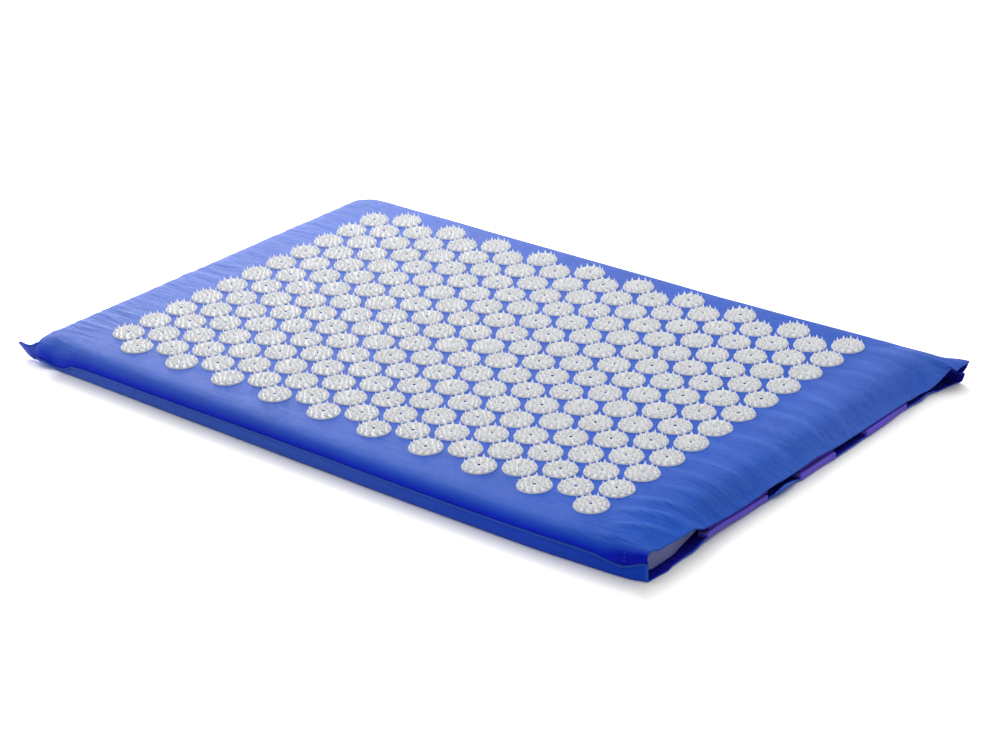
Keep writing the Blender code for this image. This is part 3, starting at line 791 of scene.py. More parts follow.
def use_group(nodes, group, inputs):
    node = nodes.add("ShaderNodeGroup", node_tree=group)
    for socket, value in inputs.items():
        if isinstance(value, bpy.types.NodeSocket):
            nodes.tree.links.new(value, node.inputs[socket])
        else:
            node.inputs[socket].default_value = value
    return node.outputs


def plug_in(nodes, shader, sockets):
    for socket, value in sockets.items():
        if isinstance(value, bpy.types.NodeSocket):
            nodes.tree.links.new(value, shader.inputs[socket])
        else:
            shader.inputs[socket].default_value = value


def cotton(colours):
    """Plain-woven royal blue cotton, a little uneven in dye, with painted shade under its shoulders, in its
    tucks and on its hems' inner side, and crests paler with wear and a painted highlight.
    """
    made, nodes, shader, point, own_map = start_finish("royal_blue_cotton")
    weave = use_group(nodes, plain_weave(), {"Map": own_map, "Thread": 0.00055})
    cloud = use_group(nodes, mottle(), {"Point": point, "Broad": 11.0, "Fine": 240.0})
    shade_share = nodes.add("ShaderNodeAttribute", attribute_name="shade_share").outputs["Fac"]
    crest = nodes.add("ShaderNodeAttribute", attribute_name="crest").outputs["Fac"]
    # Painted shade: the cotton turns to the shade blue by the painted shade share
    tone = nodes.mix(shade_share, colours.cotton, colours.shade_cotton)
    # Painted shade on the hems' inner side, where the crest share is negative
    tone = nodes.mix(nodes.ramp(crest, 0.0, -1.0), tone, colours.inner_cotton)
    # Painted highlight on the crests, partly wear as well
    tone = nodes.mix(nodes.math("MULTIPLY", crest, 0.35), tone, colours.highlight_cotton)
    dye = nodes.spread(cloud["Cloud"], 0.90, 1.06)
    yarn = nodes.spread(weave["Yarn"], 0.90, 1.10)
    level = nodes.math("MULTIPLY", dye, yarn)
    grey = nodes.add("ShaderNodeCombineColor", {0: level, 1: level, 2: level}).outputs[0]
    tone = nodes.mix(1.0, tone, grey, "MULTIPLY")
    crumple = nodes.bump(nodes.noise(point, 55.0, 4.0, 0.6), 0.0012, 0.30)
    parts = nodes.add("ShaderNodeSeparateXYZ", {0: point}).outputs
    along = parts["X"]
    near_mouth = nodes.ramp(along, 0.255, 0.300)
    near_end = nodes.ramp(along, -0.283, -0.300)
    streaks = nodes.noise(nodes.stretched(point, (17.0, 95.0, 60.0)), 1.0, 3.0, 0.55)
    near = nodes.math("MAXIMUM", near_mouth, nodes.math("MULTIPLY", near_end, 0.6))
    strength = nodes.math("MULTIPLY_ADD", near, 0.95, 0.12)
    crumple = nodes.bump(streaks, 0.0055, strength, crumple)
    pressed = nodes.ramp(along, -0.34, 0.30, 0.52, 0.18)
    worn = nodes.math("MULTIPLY", near_mouth, nodes.ramp(parts["Y"], -0.17, 0.08, -0.10, 0.22))
    pressed = nodes.math("ADD", pressed, worn)
    gloss = nodes.math("MULTIPLY", pressed, nodes.ramp(shade_share, 0.0, 0.8, 1.0, 0.15))
    plug_in(nodes, shader, {
        "Base Color": tone,
        "Roughness": nodes.spread(cloud["Grain"], 0.50, 0.62),
        "Specular IOR Level": gloss,
        "Sheen Weight": 0.05,
        "Sheen Roughness": 0.40,
        "Sheen Tint": (0.75, 0.85, 1.0, 1.0),
        "Normal": nodes.bump(weave["Height"], 0.00022, 0.8, crumple),
    })
    return made


def disc_plastic(colours):
    """Moulded ivory plastic, with painted shade: greyer on the floor between the spikes, brighter at their
    tips.
    """
    made, nodes, shader, point, _ = start_finish("ivory_disc_plastic")
    cloud = use_group(nodes, mottle(), {"Point": point, "Broad": 30.0, "Fine": 900.0})
    height = nodes.add("ShaderNodeSeparateXYZ", {0: point}).outputs["Z"]
    # Painted shade: greyer low down, on the floor between the spikes, paler up at the tips
    tone = nodes.mix(nodes.ramp(height, 0.0286, 0.0293), colours.disc_floor_shade, colours.disc)
    tone = nodes.mix(nodes.ramp(cloud["Cloud"], 0.35, 0.65, 0.0, 0.10), tone, (0.80, 0.76, 0.66))
    plug_in(nodes, shader, {
        "Base Color": tone,
        "Roughness": nodes.spread(cloud["Grain"], 0.36, 0.52),
        "Specular IOR Level": 0.36,
        "Subsurface Weight": 0.85,
        "Subsurface Radius": (1.0, 1.0, 1.0),
        "Subsurface Scale": 0.0022,
        "Normal": nodes.bump(cloud["Grain"], 0.00012, 0.6),
    })
    return made


def cut_foam(colours):
    """Open-celled grey foam: dark pores in a paler web, with painted blue bounce light towards its cut end.
    """
    made, nodes, shader, point, _ = start_finish("grey_foam")
    cells = nodes.add("ShaderNodeTexVoronoi", {"Vector": point, "Scale": 620.0}).outputs["Distance"]
    cloud = use_group(nodes, mottle(), {"Point": point, "Broad": 22.0, "Fine": 420.0})
    pores = nodes.math("MULTIPLY", nodes.ramp(cells, 0.10, 0.55), nodes.ramp(cloud["Grain"], 0.30, 0.62))
    tone = nodes.mix(pores, colours.foam_pore, colours.foam)
    tone = nodes.mix(nodes.spread(cloud["Cloud"], 0.0, 0.22), tone, (0.36, 0.35, 0.36))
    along = nodes.add("ShaderNodeSeparateXYZ", {0: point}).outputs["X"]
    # Painted bounce light: blue towards the cut end
    tone = nodes.mix(nodes.ramp(along, 0.306, 0.320, 0.0, 0.75), tone, colours.foam_blue_bounce)
    plug_in(nodes, shader, {
        "Base Color": tone,
        "Roughness": nodes.spread(cloud["Grain"], 0.86, 0.98),
        "Specular IOR Level": 0.15,
        "Normal": nodes.bump(pores, 0.0007, 0.7),
    })
    return made


def tape(colours, kind):
    """Hook tape, with rows of stiff hooks, or loop tape, with a soft brushed pile."""
    made, nodes, shader, point, own_map = start_finish(f"{kind}_tape")
    rows = use_group(nodes, plain_weave(), {"Map": own_map, "Thread": 0.0011 if kind == "hook" else 0.0007})
    cloud = use_group(nodes, mottle(), {"Point": point, "Broad": 90.0, "Fine": 1400.0})
    tone = colours.hook_tape if kind == "hook" else colours.loop_tape
    darker = [part * 0.45 for part in tone]
    pile = nodes.math("MULTIPLY_ADD", cloud["Grain"], 0.8, nodes.math("MULTIPLY", rows["Height"], 0.4))
    plug_in(nodes, shader, {
        "Base Color": nodes.mix(nodes.ramp(pile, 0.35, 0.75), darker, tone),
        "Roughness": nodes.spread(cloud["Grain"], 0.70, 0.92),
        "Sheen Weight": 0.03 if kind == "hook" else 0.12,
        "Specular IOR Level": 0.15,
        "Normal": nodes.bump(pile, 0.0006, 0.8),
    })
    return made


def sewing_thread(colours):
    """Twisted sewing thread."""
    made, nodes, shader, point, _ = start_finish("blue_sewing_thread")
    cloud = use_group(nodes, mottle(), {"Point": point, "Broad": 60.0, "Fine": 2600.0})
    darker = [part * 0.6 for part in colours.thread]
    plug_in(nodes, shader, {
        "Base Color": nodes.mix(nodes.spread(cloud["Grain"]), darker, colours.thread),
        "Roughness": nodes.spread(cloud["Cloud"], 0.50, 0.68),
        "Sheen Weight": 0.25,
        "Normal": nodes.bump(cloud["Grain"], 0.0001, 0.8),
    })
    return made


FINISHES = {
    "cotton": cotton,
    "disc": disc_plastic,
    "foam": cut_foam,
    "hook": lambda colours: tape(colours, "hook"),
    "loop": lambda colours: tape(colours, "loop"),
    "thread": sewing_thread,
}


def finish_of(context, kind):
    """The material of a kind of piece, made once."""
    made = context.scene.get(f"mat_finish_{kind}")
    found = bpy.data.materials.get(made) if made else None
    if not found:
        found = FINISHES[kind](context.scene.mat_colours)
        context.scene[f"mat_finish_{kind}"] = found.name
    return found


# Pieces of the cover


def ways_out(section, back_end=None):
    """Ways out from the flat core at which a cloth's rows lie."""
    ways = [0.0, 0.004]
    if back_end:
        ways.append(back_end)
    return ways + evenly(ways[-1], section.length, 0.0024)[1:]


def hem_ways(mouth):
    """Ways along a cloth from the hem line to its edge, round the fold and back inside."""
    edge, radius = mouth.edge, mouth.fold_radius
    turned = edge + math.pi * radius
    inner = (edge - mouth.hem_line) * (1.0 - HEM_STOP)
    ways = evenly(mouth.hem_line, edge, 0.0016)
    ways += [edge + math.pi * radius * step / 5 for step in range(1, 6)]
    return ways + evenly(turned, turned + inner, 0.0030)[1:]


def rows_across(half, ways, spacing):
    """Rows of a cloth: the ways out on both sides of its flat core, and evenly across the core."""
    rows = [-half - way for way in reversed(ways)]
    rows += evenly(-half, half, spacing)[1:]
    return rows + [half + way for way in ways[1:]]


def finish_cloth(context, cloth, lip, nodes):
    """Gives a panel and its lip their thickness and their cotton, each in place of its own node."""
    for piece, node in zip((cloth, lip), nodes):
        thicken(piece, context.scene.mat_cover.cloth)
        shade(piece)
        hand_over(piece, finish_of(context, "cotton"), [node])
    return cloth, lip


def round_turns(sides):
    """Angles of a tube's corners, all the way round and back to the first."""
    return [2.0 * math.pi * step / sides for step in range(sides + 1)]


def build_top_cloth(context):
    """The top panel over the foam, with its shoulders, and the loose upper lip cut from the same cloth."""
    cover = Cover(context.scene)
    sizes, mouth = cover.sizes, cover.mouth
    half = sizes.core_half_width
    ways = ways_out(cover.shoulder, mouth.back_end - half)
    us = [sizes.core_end - way for way in reversed(ways)]
    ripples_end, folds_start = -0.280, 0.260
    us += evenly(sizes.core_end, ripples_end, 0.0030)[1:]
    us += evenly(ripples_end, folds_start, 0.0080)[1:]
    us += evenly(folds_start, mouth.hem_line, 0.0022)[1:]
    us += hem_ways(mouth)[1:]
    vs = rows_across(half, ways, 0.0033)

    shade_below, shade_corner = 0.12, 0.42

    # Painted shade grows as the shoulder turns down, more at the front corner by the mouth, where the crest
    # share also drops towards the inner side's painted shade; fold crests take the painted highlight
    def tint(u, v):
        _, _, way = cover.station(u, v)
        level = cover.shoulder.at(way).y
        if u > mouth.edge + mouth.fold_radius * 2:
            return 1.0, -1.0
        place = cover.top_sheet(min(u, mouth.edge), v)
        low = shade_below + (shade_corner * eased((u - 0.290) / 0.025) if v < 0.0 else 0.0)
        shade_share = 1.0 - eased((level - low) / (0.96 - low))
        crest = cover.hills(place.x, place.y)[1]
        return shade_share, crest - 0.5 * shade_share * (low - shade_below) / shade_corner

    cloth = lay_cloth("top_cloth", us, vs, cover.top, tint)
    front, back, line = mouth.front_end, mouth.back_end, mouth.hem_line

    def loose(centre, normal):
        return centre.x > line and front < centre.y < back

    lip = cut_off(cloth, "top_lip", loose)
    return finish_cloth(context, cloth, lip, ("top_panel", "top_hem"))


def build_bottom_cloth(context):
    """The bottom panel on the ground, turned up to the seam, and the lower lip cut from the same cloth."""
    cover = Cover(context.scene)
    sizes, mouth = cover.sizes, cover.mouth
    half = sizes.core_half_width
    ways = [0.0, 0.004, 0.0095, *evenly(0.019, cover.foot.length, 0.0014)]
    us = [sizes.core_end - way for way in reversed(ways)]
    us += evenly(sizes.core_end, mouth.hem_line, 0.0090)[1:]
    us += hem_ways(mouth)[1:]
    vs = rows_across(half, ways, 0.0040)

    # Painted shade on the bottom cloth, growing towards the mouth and full on the inner side; a painted
    # highlight along the lip's folded edge
    def tint(u, v):
        if u > mouth.edge + mouth.fold_radius * 2:
            return 1.0, -1.0
        hem = math.exp(-(((u - mouth.edge - 0.0006) / 0.0012) ** 2))
        return (0.12 + 0.30 * eased((u + 0.05) / 0.33)) * (1.0 - hem), 0.5 * hem

    cloth = lay_cloth("bottom_cloth", us, vs, cover.bottom, tint)
    turn_over(cloth)
    line = mouth.hem_line

    def loose(centre, normal):
        return centre.x > line and abs(centre.y) < half + 0.004

    lip = cut_off(cloth, "bottom_lip", loose)
    return finish_cloth(context, cloth, lip, ("bottom_panel", "bottom_hem"))


def seam_stations(cover, part):
    """(core point, outward direction) along the front, the closed end or the back of the seam."""
    sizes = cover.sizes
    end, half = sizes.core_end, sizes.core_half_width
    edge = cover.mouth.edge
    if part == "front":
        return [(Vector((x, -half)), Vector((0.0, -1.0))) for x in evenly(edge, end, 0.0040)]
    if part == "back":
        return [(Vector((x, half)), Vector((0.0, 1.0))) for x in evenly(end, edge, 0.0060)]

    def corner(first, last, y):
        angles = [math.radians(turn) for turn in evenly(first, last, 6.0)]
        return [(Vector((end, y)), Vector((math.cos(angle), math.sin(angle)))) for angle in angles]

    straight = [(Vector((end, y)), Vector((-1.0, 0.0))) for y in evenly(-half, half, 0.0060)[1:-1]]
    return corner(270.0, 180.0, -half) + straight + corner(180.0, 90.0, half)


def build_seams(context):
    """The sewn edge of both panels: two turned cloth edges side by side, stitched through."""
    cover = Cover(context.scene)
    sizes = cover.sizes
    made = []
    for part in ("front", "end", "back"):
        stations = seam_stations(cover, part)
        ways = [0.0]
        for before, after in zip(stations, stations[1:]):
            step = (after[0] + after[1] * sizes.reach) - (before[0] + before[1] * sizes.reach)
            ways.append(ways[-1] + step.length)
        lookup = dict(zip(ways, stations))

        def place(way, turn):
            core, direction = lookup[way]
            rim = core + direction * sizes.reach
            centre = cover.rim_place(core, direction, sizes.reach - WELT_INSET, cover.seam_height(rim))
            centre.x += cover.pull(centre, cover.hem_share(core.x))
            groove = 1.0 - 0.30 * math.exp(-((math.sin(turn) / 0.38) ** 2)) * (math.cos(turn) > 0.0)
            pinch = 1.0 + 0.06 * math.sin(way / 0.0032 * math.pi)
            out = sizes.welt_reach * math.cos(turn) * groove
            rise = sizes.welt_rise * math.sin(turn) * pinch
            return centre + Vector((direction.x * out, direction.y * out, rise))

        # Painted shade on the welt's inner, lower side and a painted highlight along its top
        def tint(way, turn):
            return (0.55 if math.cos(turn) < 0.2 else 0.12), (0.7 if math.sin(turn) > 0.3 else 0.0)

        welt = lay_cloth(f"seam_welt_{part}", ways, round_turns(WELT_SIDES), place, tint)
        close_tube(welt)
        shade(welt, 60.0)
        node = "closed_end_seam" if part == "end" else f"{part}_side_seam"
        made.append(hand_over(welt, finish_of(context, "cotton"), [node]))
    return made


def build_ear(context):
    """The seam's empty corner: both cloths folded flat, sticking out past the closed end and curling up."""
    line = smooth_line(EAR_LINE, 5)
    steps = list(range(len(line)))

    def place(step, turn):
        x, y, z, height, thickness = line[step]
        onward = line[min(step + 1, len(line) - 1)] - line[max(step - 1, 0)]
        onward = Vector(onward[:3]).normalized()
        aside = onward.cross(Vector((0.0, 0.0, 1.0))).normalized()
        groove = 1.0 - 0.35 * math.exp(-((math.cos(turn) / 0.5) ** 2))
        lean = 0.30 * height * math.sin(turn)
        upward = Vector((0.0, 0.0, 1.0))
        return (
            Vector((x, y, z))
            - aside * (thickness * math.cos(turn) * groove + lean)
            + upward * height * math.sin(turn)
        )

    # Painted shade over the ear, eased along its crease, which takes a painted highlight
    def tint(step, turn):
        crease = math.exp(-(((step - 9.0) / 2.0 + math.sin(turn) * 1.6) ** 2))
        return 0.60 - 0.50 * crease, crease

    ear = lay_cloth("corner_tab", steps, round_turns(EAR_SIDES), place, tint)
    close_tube(ear)
    shade(ear, 60.0)
    return hand_over(ear, finish_of(context, "cotton"), ["corner_ear"])


# Closures and stitches


def build_closures(context):
    """Three strips of hook tape under the upper lip, each closed on loop tape on the lower lip."""
    cover = Cover(context.scene)
    mouth = cover.mouth
    end = mouth.edge + mouth.tape_reach
    start = end - mouth.tape_width
    layers = 2 * mouth.fold_radius
    made = []
    for place_name, front, back in CLOSURES:
        for kind, sheet in (("hook", cover.top_sheet), ("loop", cover.bottom_sheet)):

            def place(u, v):
                at = min(u, mouth.edge)
                inset = layers + 0.0001 if kind == "hook" else layers - mouth.tape_sunk
                return sheet(at, v) + cover.inward(sheet, at, v) * inset + Vector((u - at, 0.0, 0.0))

            us, vs = evenly(start, end, 0.0012), evenly(front, back, 0.0030)
            strip = lay_cloth(f"{kind}_tape_{place_name}", us, vs, place)
            if kind == "loop":
                turn_over(strip)
            thicken(strip, mouth.hook_tape if kind == "hook" else mouth.loop_tape)
            apply_modifier(strip, "BEVEL", width=0.0004, segments=2, limit_method="ANGLE")
            shade(strip, 40.0)
            node = f"{kind}_patch_{place_name}"
            made.append(hand_over(strip, finish_of(context, kind), [node]))
    return made


def model_stitch():
    """One stitch of thread, lying along X."""
    leave_all()
    bpy.ops.mesh.primitive_uv_sphere_add(segments=6, ring_count=5, radius=0.00024)
    bpy.ops.object.mode_set(mode="EDIT")
    bpy.ops.mesh.select_all(action="SELECT")
    bpy.ops.transform.resize(value=(4.2, 1.0, 0.75))
    bpy.ops.object.mode_set(mode="OBJECT")
    bpy.ops.object.shade_smooth()
    return bpy.context.object


def stitch_places(route, spacing=0.0032):
    """Placements of stitches laid end to end along a route of points."""
    ways = [0.0]
    for before, after in zip(route, route[1:]):
        ways.append(ways[-1] + (after - before).length)
    placements = []
    for way in evenly(spacing / 2, ways[-1] - spacing / 2, spacing):
        number = min(bisect.bisect_right(ways, way) - 1, len(route) - 2)
        step = route[number + 1] - route[number]
        at = route[number].lerp(route[number + 1], (way - ways[number]) / step.length)
        placements.append(Matrix.Translation(at) @ step.to_track_quat("X", "Z").to_matrix().to_4x4())
    return placements


def build_stitches(context):
    """Stitch lines of the upper hem and round the tapes."""
    cover = Cover(context.scene)
    mouth, half = cover.mouth, cover.sizes.core_half_width
    stitch = model_stitch()
    hem_u = mouth.hem_line + HEM_STITCH
    made = []
    deepest = cover.shoulder.length - 0.004
    front_wall = [cover.top_sheet(hem_u, -half - way) for way in evenly(0.004, deepest, 0.0016)]
    back_wall = [cover.top_sheet(hem_u, half + way) for way in evenly(mouth.back_end - half, deepest, 0.0016)]
    walls = scatter(stitch, "hem_stitches_sides", stitch_places(front_wall) + stitch_places(back_wall))
    made.append(hand_over(walls, finish_of(context, "thread")))
    across = [cover.top_sheet(hem_u, v) for v in evenly(mouth.front_end, mouth.back_end, 0.0020)]
    line = scatter(stitch, "hem_stitches_top", stitch_places(across))
    made.append(hand_over(line, finish_of(context, "thread")))
    outer = mouth.edge - 0.0020
    inner = outer - mouth.tape_width + 0.0024
    for place_name, front, back in CLOSURES:
        front, back = front + 0.0012, back - 0.0012
        for kind, sheet in (("top", cover.top_sheet), ("bottom", cover.bottom_sheet)):
            corners = ((inner, front), (inner, back), (outer, back), (outer, front), (inner, front))
            placements = []
            for (u0, v0), (u1, v1) in zip(corners, corners[1:]):
                shares = evenly(0.0, 1.0, 0.002 / max(abs(u1 - u0), abs(v1 - v0)))
                spots = [(u0 + (u1 - u0) * part, v0 + (v1 - v0) * part) for part in shares]
                route = [sheet(u, v) + cover.inward(sheet, u, v) * STITCH_SUNK for u, v in spots]
                placements += stitch_places(route)
            ring = scatter(stitch, f"tape_stitches_{kind}_{place_name}", placements)
            made.append(hand_over(ring, finish_of(context, "thread")))
    bpy.data.objects.remove(stitch)
    return made


# Foam


def build_foam(context):
    """The foam slab, rounded where the cover presses its edges and cut square at the mouth."""
    sizes = context.scene.mat_foam
    middle = (FOAM_LOW + FOAM_HIGH) / 2
    half = (FOAM_HIGH - FOAM_LOW) / 2
    radius = sizes.edge_radius
    end_pull = context.scene.mat_cover.end_pull
    lip_start, flare_start, squeeze_start, squeeze_length = 0.280, 0.290, 0.304, 0.007
    outline = []
    for quarter, (side, rise) in enumerate(((1, 1), (-1, 1), (-1, -1), (1, -1))):
        corner = Vector((side * (half.y - radius), rise * (half.z - radius)))
        for step in range(6):
            angle = math.radians(90.0 * quarter + 18.0 * step)
            outline.append(corner + Vector((math.cos(angle), math.sin(angle))) * radius)
        if quarter in (0, 2):
            far = Vector((-side * (half.y - radius), rise * half.z))
            outline += [outline[-1].lerp(far, part) for part in evenly(0.0, 1.0, 0.025)[1:-1]]
    outline.append(outline[0])
    rounding = [radius * (1 - math.cos(math.radians(angle))) for angle in (0, 22, 45, 68, 90)]
    cut = [sizes.mouth_radius * (1 - math.cos(math.radians(angle))) for angle in (90, 60, 30, 0)]
    us = [FOAM_LOW.x + way for way in rounding]
    us += evenly(FOAM_LOW.x + radius, FOAM_HIGH.x - sizes.mouth_radius, 0.0110)[1:]
    us += [FOAM_HIGH.x - way for way in cut[1:]]

    def place(u, number):
        spot = outline[int(number)]
        inset = 0.0
        for distance, bend in ((u - FOAM_LOW.x, radius), (FOAM_HIGH.x - u, sizes.mouth_radius)):
            if distance < bend:
                inset = bend - math.sqrt(max(bend**2 - (bend - distance) ** 2, 0.0))
        wander = noise.noise(Vector((u * 14.0, spot.x * 14.0, spot.y * 60.0))) * sizes.unevenness
        y = spot.x * (half.y - inset) / half.y
        z = spot.y * (half.z - inset) / half.z
        x = u + end_pull * (0.5 + y / (2.0 * half.y)) * eased(1.0 - (u - FOAM_LOW.x) / 0.033)
        x += value_at(FOAM_REACH, y) * eased((u - flare_start) / (FOAM_HIGH.x - flare_start))
        if u > lip_start:
            squeeze = eased((x - squeeze_start) / squeeze_length)
            pressed = value_at(LIP_DROP, y) * value_at(LIP_EASE, x) + 0.0022 * squeeze
            z -= pressed * max(z, 0.0) / half.z
            z += 0.0010 * squeeze * max(-z, 0.0) / half.z
        return Vector((x, middle.y + y, middle.z + z - abs(wander) * math.copysign(1.0, z)))

    slab = lay_cloth("foam_slab", us, list(range(len(outline))), place)
    close_tube(slab)
    shade(slab, 40.0)
    hand_over(slab, finish_of(context, "foam"), ["foam_core"], body="foam")
    return slab


# Spike discs


def model_disc(context):
    """One moulded disc with its back at level 0: plate, rim, collared centre hole and rings of spikes."""
    sizes = context.scene.mat_discs
    leave_all()
    bpy.ops.mesh.primitive_cylinder_add(
        vertices=20, radius=sizes.diameter / 2, depth=sizes.plate, location=(0.0, 0.0, sizes.plate / 2)
    )
    disc = bpy.context.object
    bpy.ops.object.transform_apply(location=True, rotation=False, scale=False)
    bpy.ops.object.mode_set(mode="EDIT")

    def upper(centre, normal):
        return normal.z > 0.9 and centre.xy.length < 0.001

    pick_faces(upper)
    bpy.ops.transform.resize(value=(sizes.bevel, sizes.bevel, 1.0))
    bpy.ops.mesh.inset(thickness=sizes.rim, depth=0.0)
    wall, floor_drop, collar = 0.0002, 0.0004, 0.0008
    bpy.ops.mesh.inset(thickness=wall, depth=-floor_drop)
    reach = sizes.diameter / 2 * sizes.bevel - sizes.rim - wall
    bpy.ops.mesh.inset(thickness=reach - sizes.hole - collar, depth=0.0001)
    bpy.ops.mesh.inset(thickness=0.0003, depth=0.0004)
    bpy.ops.mesh.inset(thickness=0.0004, depth=0.0)
    bpy.ops.mesh.inset(thickness=0.0001, depth=-0.0009)
    bpy.ops.object.mode_set(mode="OBJECT")
    disc.data.materials.append(finish_of(context, "disc"))
    disc.data.materials.append(finish_of(context, "cotton"))
    for face in disc.data.polygons:
        if face.center.xy.length < sizes.hole and face.center.z > 0.0001:
            face.material_index = 1
    leave_all()
    (first_rise, first_width), (second_rise, second_width) = SPIKE_LINE
    height, foot = sizes.spike_height, sizes.spike_half_width
    bpy.ops.mesh.primitive_cone_add(
        vertices=6, radius1=foot, radius2=foot * first_width, depth=height * first_rise,
        location=(0.0, 0.0, height * first_rise / 2),
    )
    spike = bpy.context.object
    spike.scale.x = sizes.spike_half_depth / sizes.spike_half_width
    bpy.ops.object.transform_apply(location=True, rotation=False, scale=True)
    bpy.ops.object.mode_set(mode="EDIT")
    pick_faces(lambda centre, normal: normal.z > 0.9)
    for rise, width in ((second_rise - first_rise, second_width / first_width), (1.0 - second_rise, 0.0)):
        bpy.ops.mesh.extrude_region_move(TRANSFORM_OT_translate={"value": (0.0, 0.0, rise * height)})
        bpy.ops.transform.resize(value=(width, width, 1.0))
    bpy.ops.mesh.merge(type="CENTER")
    bpy.ops.object.mode_set(mode="OBJECT")
    spike.data.materials.append(disc.data.materials[0])
    placements = []
    for count, radius, start in SPIKE_RINGS:
        for number in range(count):
            turn = Matrix.Rotation(2.0 * math.pi * number / count + start, 4, "Z")
            placements.append(turn @ Matrix.Translation((radius, 0.0, sizes.plate - floor_drop)))
    spikes = scatter(spike, "spikes", placements)
    bpy.data.objects.remove(spike)
    leave_all()
    spikes.select_set(True)
    disc.select_set(True)
    bpy.context.view_layer.objects.active = disc
    bpy.ops.object.join()
    shade(disc, 35.0)
    return disc


def build_discs(context):
    """The field of discs, in columns that step half a disc. The two at the mouth are single pieces."""
    sizes, flat = context.scene.mat_discs, context.scene.mat_cover.flat_level
    disc = model_disc(context)
    turns = random.Random(27)
    pitch = NEXT_DISC.y - FIRST_DISC.y
    column_step = FIRST_DISC.x - NEXT_COLUMN.x
    singles = 0
    for column in range(sizes.columns):
        count = sizes.long_column - column % 2
        x = FIRST_DISC.x - column * column_step
        placements = []
        for number in range(count):
            y = (number - (count - 1) / 2) * pitch
            tilt = Matrix.Rotation(math.radians(turns.uniform(-0.7, 0.7)), 4, "X")
            turn = Matrix.Rotation(turns.uniform(0.0, 2.0 * math.pi), 4, "Z")
            placements.append(Matrix.Translation((x, y, flat)) @ tilt @ turn)
        if column < 2:
            for placement in placements:
                singles += 1
                single = scatter(disc, f"disc_single_{singles:02d}", [placement])
                hand_over(single, None, [f"spike_disc_{singles:02d}"])
        else:
            joined = scatter(disc, f"disc_column_{column + 1:02d}", placements)
            hand_over(joined, None)
    bpy.data.objects.remove(disc)


# Stage


def seen_rays(nodes):
    """1 for the rays that show a surface to the camera, straight, mirrored or through something clear."""
    rays = nodes.add("ShaderNodeLightPath").outputs
    seen = nodes.math("MAXIMUM", rays["Is Camera Ray"], rays["Is Glossy Ray"])
    return nodes.math("MAXIMUM", seen, rays["Is Transmission Ray"])


def build_floor(context):
    """A pale floor that keeps the mat's shadow and is paler still for the camera only, least beside the mat's
    front and mouth, which paints a darker shadow there.
    """
    stage = context.scene.mat_stage
    leave_all()
    bpy.ops.mesh.primitive_plane_add(size=12.0, location=(0.0, 0.0, 0.0))
    floor = bpy.context.object
    floor.name = floor.data.name = "floor"
    finish = bpy.data.materials.new("pale_floor")
    finish.use_nodes = True
    nodes = NodeTree(finish.node_tree)
    shader = finish.node_tree.nodes["Principled BSDF"]
    output = finish.node_tree.nodes["Material Output"]
    plug_in(nodes, shader, {
        "Base Color": (*context.scene.mat_colours.floor, 1.0),
        "Roughness": 0.9,
        "Specular IOR Level": 0.1,
    })
    seen = seen_rays(nodes)
    coordinates = nodes.add("ShaderNodeTexCoord").outputs
    point = nodes.add("ShaderNodeSeparateXYZ", {0: coordinates["Object"]}).outputs

    def past(value, limit):
        return nodes.math("MAXIMUM", nodes.math("SUBTRACT", value, limit), 0.0)

    # Painted shadow: the paling is weakest within a few centimetres of the front and the mouth; past the back
    # and the closed end it grows twice as fast
    mouth_x, end_x, front_y, back_y = 0.33, -0.30, -0.213, 0.21
    shaded = nodes.math("MAXIMUM", past(point["X"], mouth_x), past(front_y, point["Y"]))
    bright = nodes.math("MAXIMUM", past(point["Y"], back_y), past(end_x, point["X"]))
    bright = nodes.math("MULTIPLY", bright, 2.0)
    away = nodes.math("ADD", shaded, bright)
    far = nodes.ramp(away, 0.6, 4.0, 0.0, 1.2)
    away = nodes.math("ADD", far, nodes.ramp(away, 0.004, 0.040, stage.foot_lift, stage.floor_lift))
    lift = nodes.add("ShaderNodeBsdfDiffuse", {"Color": nodes.math("MULTIPLY", seen, away)})
    both = nodes.add("ShaderNodeAddShader", {0: shader.outputs[0], 1: lift.outputs[0]})
    nodes.tree.links.new(both.outputs[0], output.inputs["Surface"])
    floor.data.materials.append(finish)


def build_light(context):
    """Even pale light, a large lamp overhead, one high on the far left and a small low one past the end."""
    stage = context.scene.mat_stage
    world = bpy.data.worlds.new("studio")
    context.scene.world = world
    world.use_nodes = True
    nodes = NodeTree(world.node_tree)
    background = world.node_tree.nodes["Background"]
    strength = nodes.ramp(seen_rays(nodes), 0.0, 1.0, stage.sky, 1.0)
    nodes.tree.links.new(strength, background.inputs["Strength"])
    background.inputs["Color"].default_value = (1.0, 1.0, 1.0, 1.0)
    for name, place, aim, size, power in (
        ("top_lamp", Vector((-0.10, 0.30, 2.40)), Vector((-0.10, 0.30, 0.0)), 3.6, stage.top_power),
        ("key_lamp", Vector((-2.20, 1.45, 2.00)), Vector((0.0, 0.0, 0.0)), 1.1, stage.key_power),
        ("low_lamp", Vector((-0.95, 0.62, 0.36)), Vector((-0.30, 0.10, 0.0)), 0.6, stage.low_power),
    ):
        leave_all()
        turn = (aim - place).to_track_quat("-Z", "Y").to_euler()
        bpy.ops.object.light_add(type="AREA", location=place, rotation=turn)
        lamp = bpy.context.object
        lamp.name = name
        lamp.visible_camera = False
        lamp.data.size = size
        lamp.data.energy = power


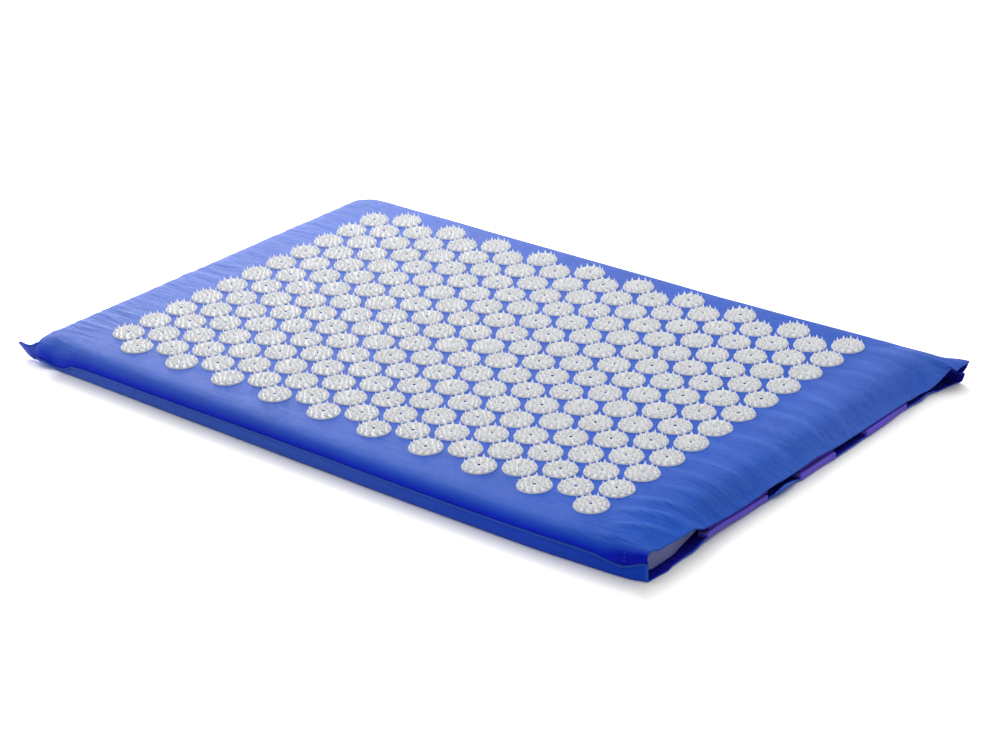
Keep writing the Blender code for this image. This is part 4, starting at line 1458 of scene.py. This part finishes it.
def build_camera(context):
    """The camera at the photograph's viewing angle."""
    stage = context.scene.mat_stage
    azimuth, elevation = stage.azimuth, stage.elevation
    forward = Vector((
        -math.sin(azimuth) * math.cos(elevation),
        math.cos(azimuth) * math.cos(elevation),
        -math.sin(elevation),
    ))
    turn = forward.to_track_quat("-Z", "Y") @ Quaternion((0.0, 0.0, 1.0), stage.roll)
    leave_all()
    bpy.ops.object.camera_add(location=stage.camera_place, rotation=turn.to_euler())
    camera = bpy.context.object
    camera.name = "camera"
    camera.data.lens = stage.lens
    camera.data.sensor_width = 36.0
    context.scene.camera = camera
    context.scene.view_settings.view_transform = "Standard"


# Operators


class MAT_OT_stage(bpy.types.Operator):
    """Add the camera, the floor and the light"""

    bl_idname = "acumat.stage"
    bl_label = "Stage"

    def execute(self, context):
        build_camera(context)
        build_floor(context)
        build_light(context)
        return {"FINISHED"}


class MAT_OT_foam(bpy.types.Operator):
    """Add the foam slab"""

    bl_idname = "acumat.foam"
    bl_label = "Foam slab"

    def execute(self, context):
        build_foam(context)
        return {"FINISHED"}


class MAT_OT_cover(bpy.types.Operator):
    """Add the two cloths of the cover with the lips of its mouth, seams, corner tab, tapes and stitches"""

    bl_idname = "acumat.cover"
    bl_label = "Cover"

    def execute(self, context):
        top, top_lip = build_top_cloth(context)
        bottom, bottom_lip = build_bottom_cloth(context)
        welts = build_seams(context)
        ear = build_ear(context)
        tapes = build_closures(context)
        stitches = build_stitches(context)
        upper = [top_lip] + [piece for piece in tapes if piece.name.startswith("hook")]
        upper += [piece for piece in stitches if "_top" in piece.name]
        lower = [bottom_lip] + [piece for piece in tapes if piece.name.startswith("loop")]
        lower += [piece for piece in stitches if "_bottom_" in piece.name]
        for piece in upper:
            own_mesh(piece)
        for piece in lower:
            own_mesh(piece)
        sides = [piece for piece in stitches if "_sides" in piece.name]
        return {"FINISHED"}


class MAT_OT_discs(bpy.types.Operator):
    """Add the field of spike discs"""

    bl_idname = "acumat.discs"
    bl_label = "Spike discs"

    def execute(self, context):
        build_discs(context)
        return {"FINISHED"}


class MAT_PT_mat(bpy.types.Panel):
    """Sizes, colours and pieces of the acupressure mat"""

    bl_idname = "MAT_PT_mat"
    bl_label = "Acupressure mat"
    bl_space_type = "VIEW_3D"
    bl_region_type = "UI"
    bl_category = "Mat"

    def draw(self, context):
        for name, group in GROUPS.items():
            box = self.layout.box()
            box.label(text=name)
            sizes = getattr(context.scene, group[0])
            for prop in group[1].__annotations__:
                box.prop(sizes, prop)
        for operator in OPERATORS:
            self.layout.operator(operator.bl_idname)


GROUPS = {
    "Cover": ("mat_cover", CoverSizes),
    "Mouth": ("mat_mouth", MouthSizes),
    "Discs": ("mat_discs", DiscSizes),
    "Foam": ("mat_foam", FoamSizes),
    "Colours": ("mat_colours", MatColours),
    "Stage": ("mat_stage", StageSizes),
}
OPERATORS = (MAT_OT_stage, MAT_OT_foam, MAT_OT_cover, MAT_OT_discs)


def register():
    for attribute, group in GROUPS.values():
        bpy.utils.register_class(group)
        setattr(bpy.types.Scene, attribute, bpy.props.PointerProperty(type=group))
    for operator in OPERATORS:
        bpy.utils.register_class(operator)
    bpy.utils.register_class(MAT_PT_mat)


def unregister():
    bpy.utils.unregister_class(MAT_PT_mat)
    for operator in reversed(OPERATORS):
        bpy.utils.unregister_class(operator)
    for attribute, group in GROUPS.values():
        delattr(bpy.types.Scene, attribute)
        bpy.utils.unregister_class(group)


def main():
    register()
    bpy.ops.acumat.stage()
    bpy.ops.acumat.foam()
    bpy.ops.acumat.cover()
    bpy.ops.acumat.discs()


if __name__ == "__main__":
    main()
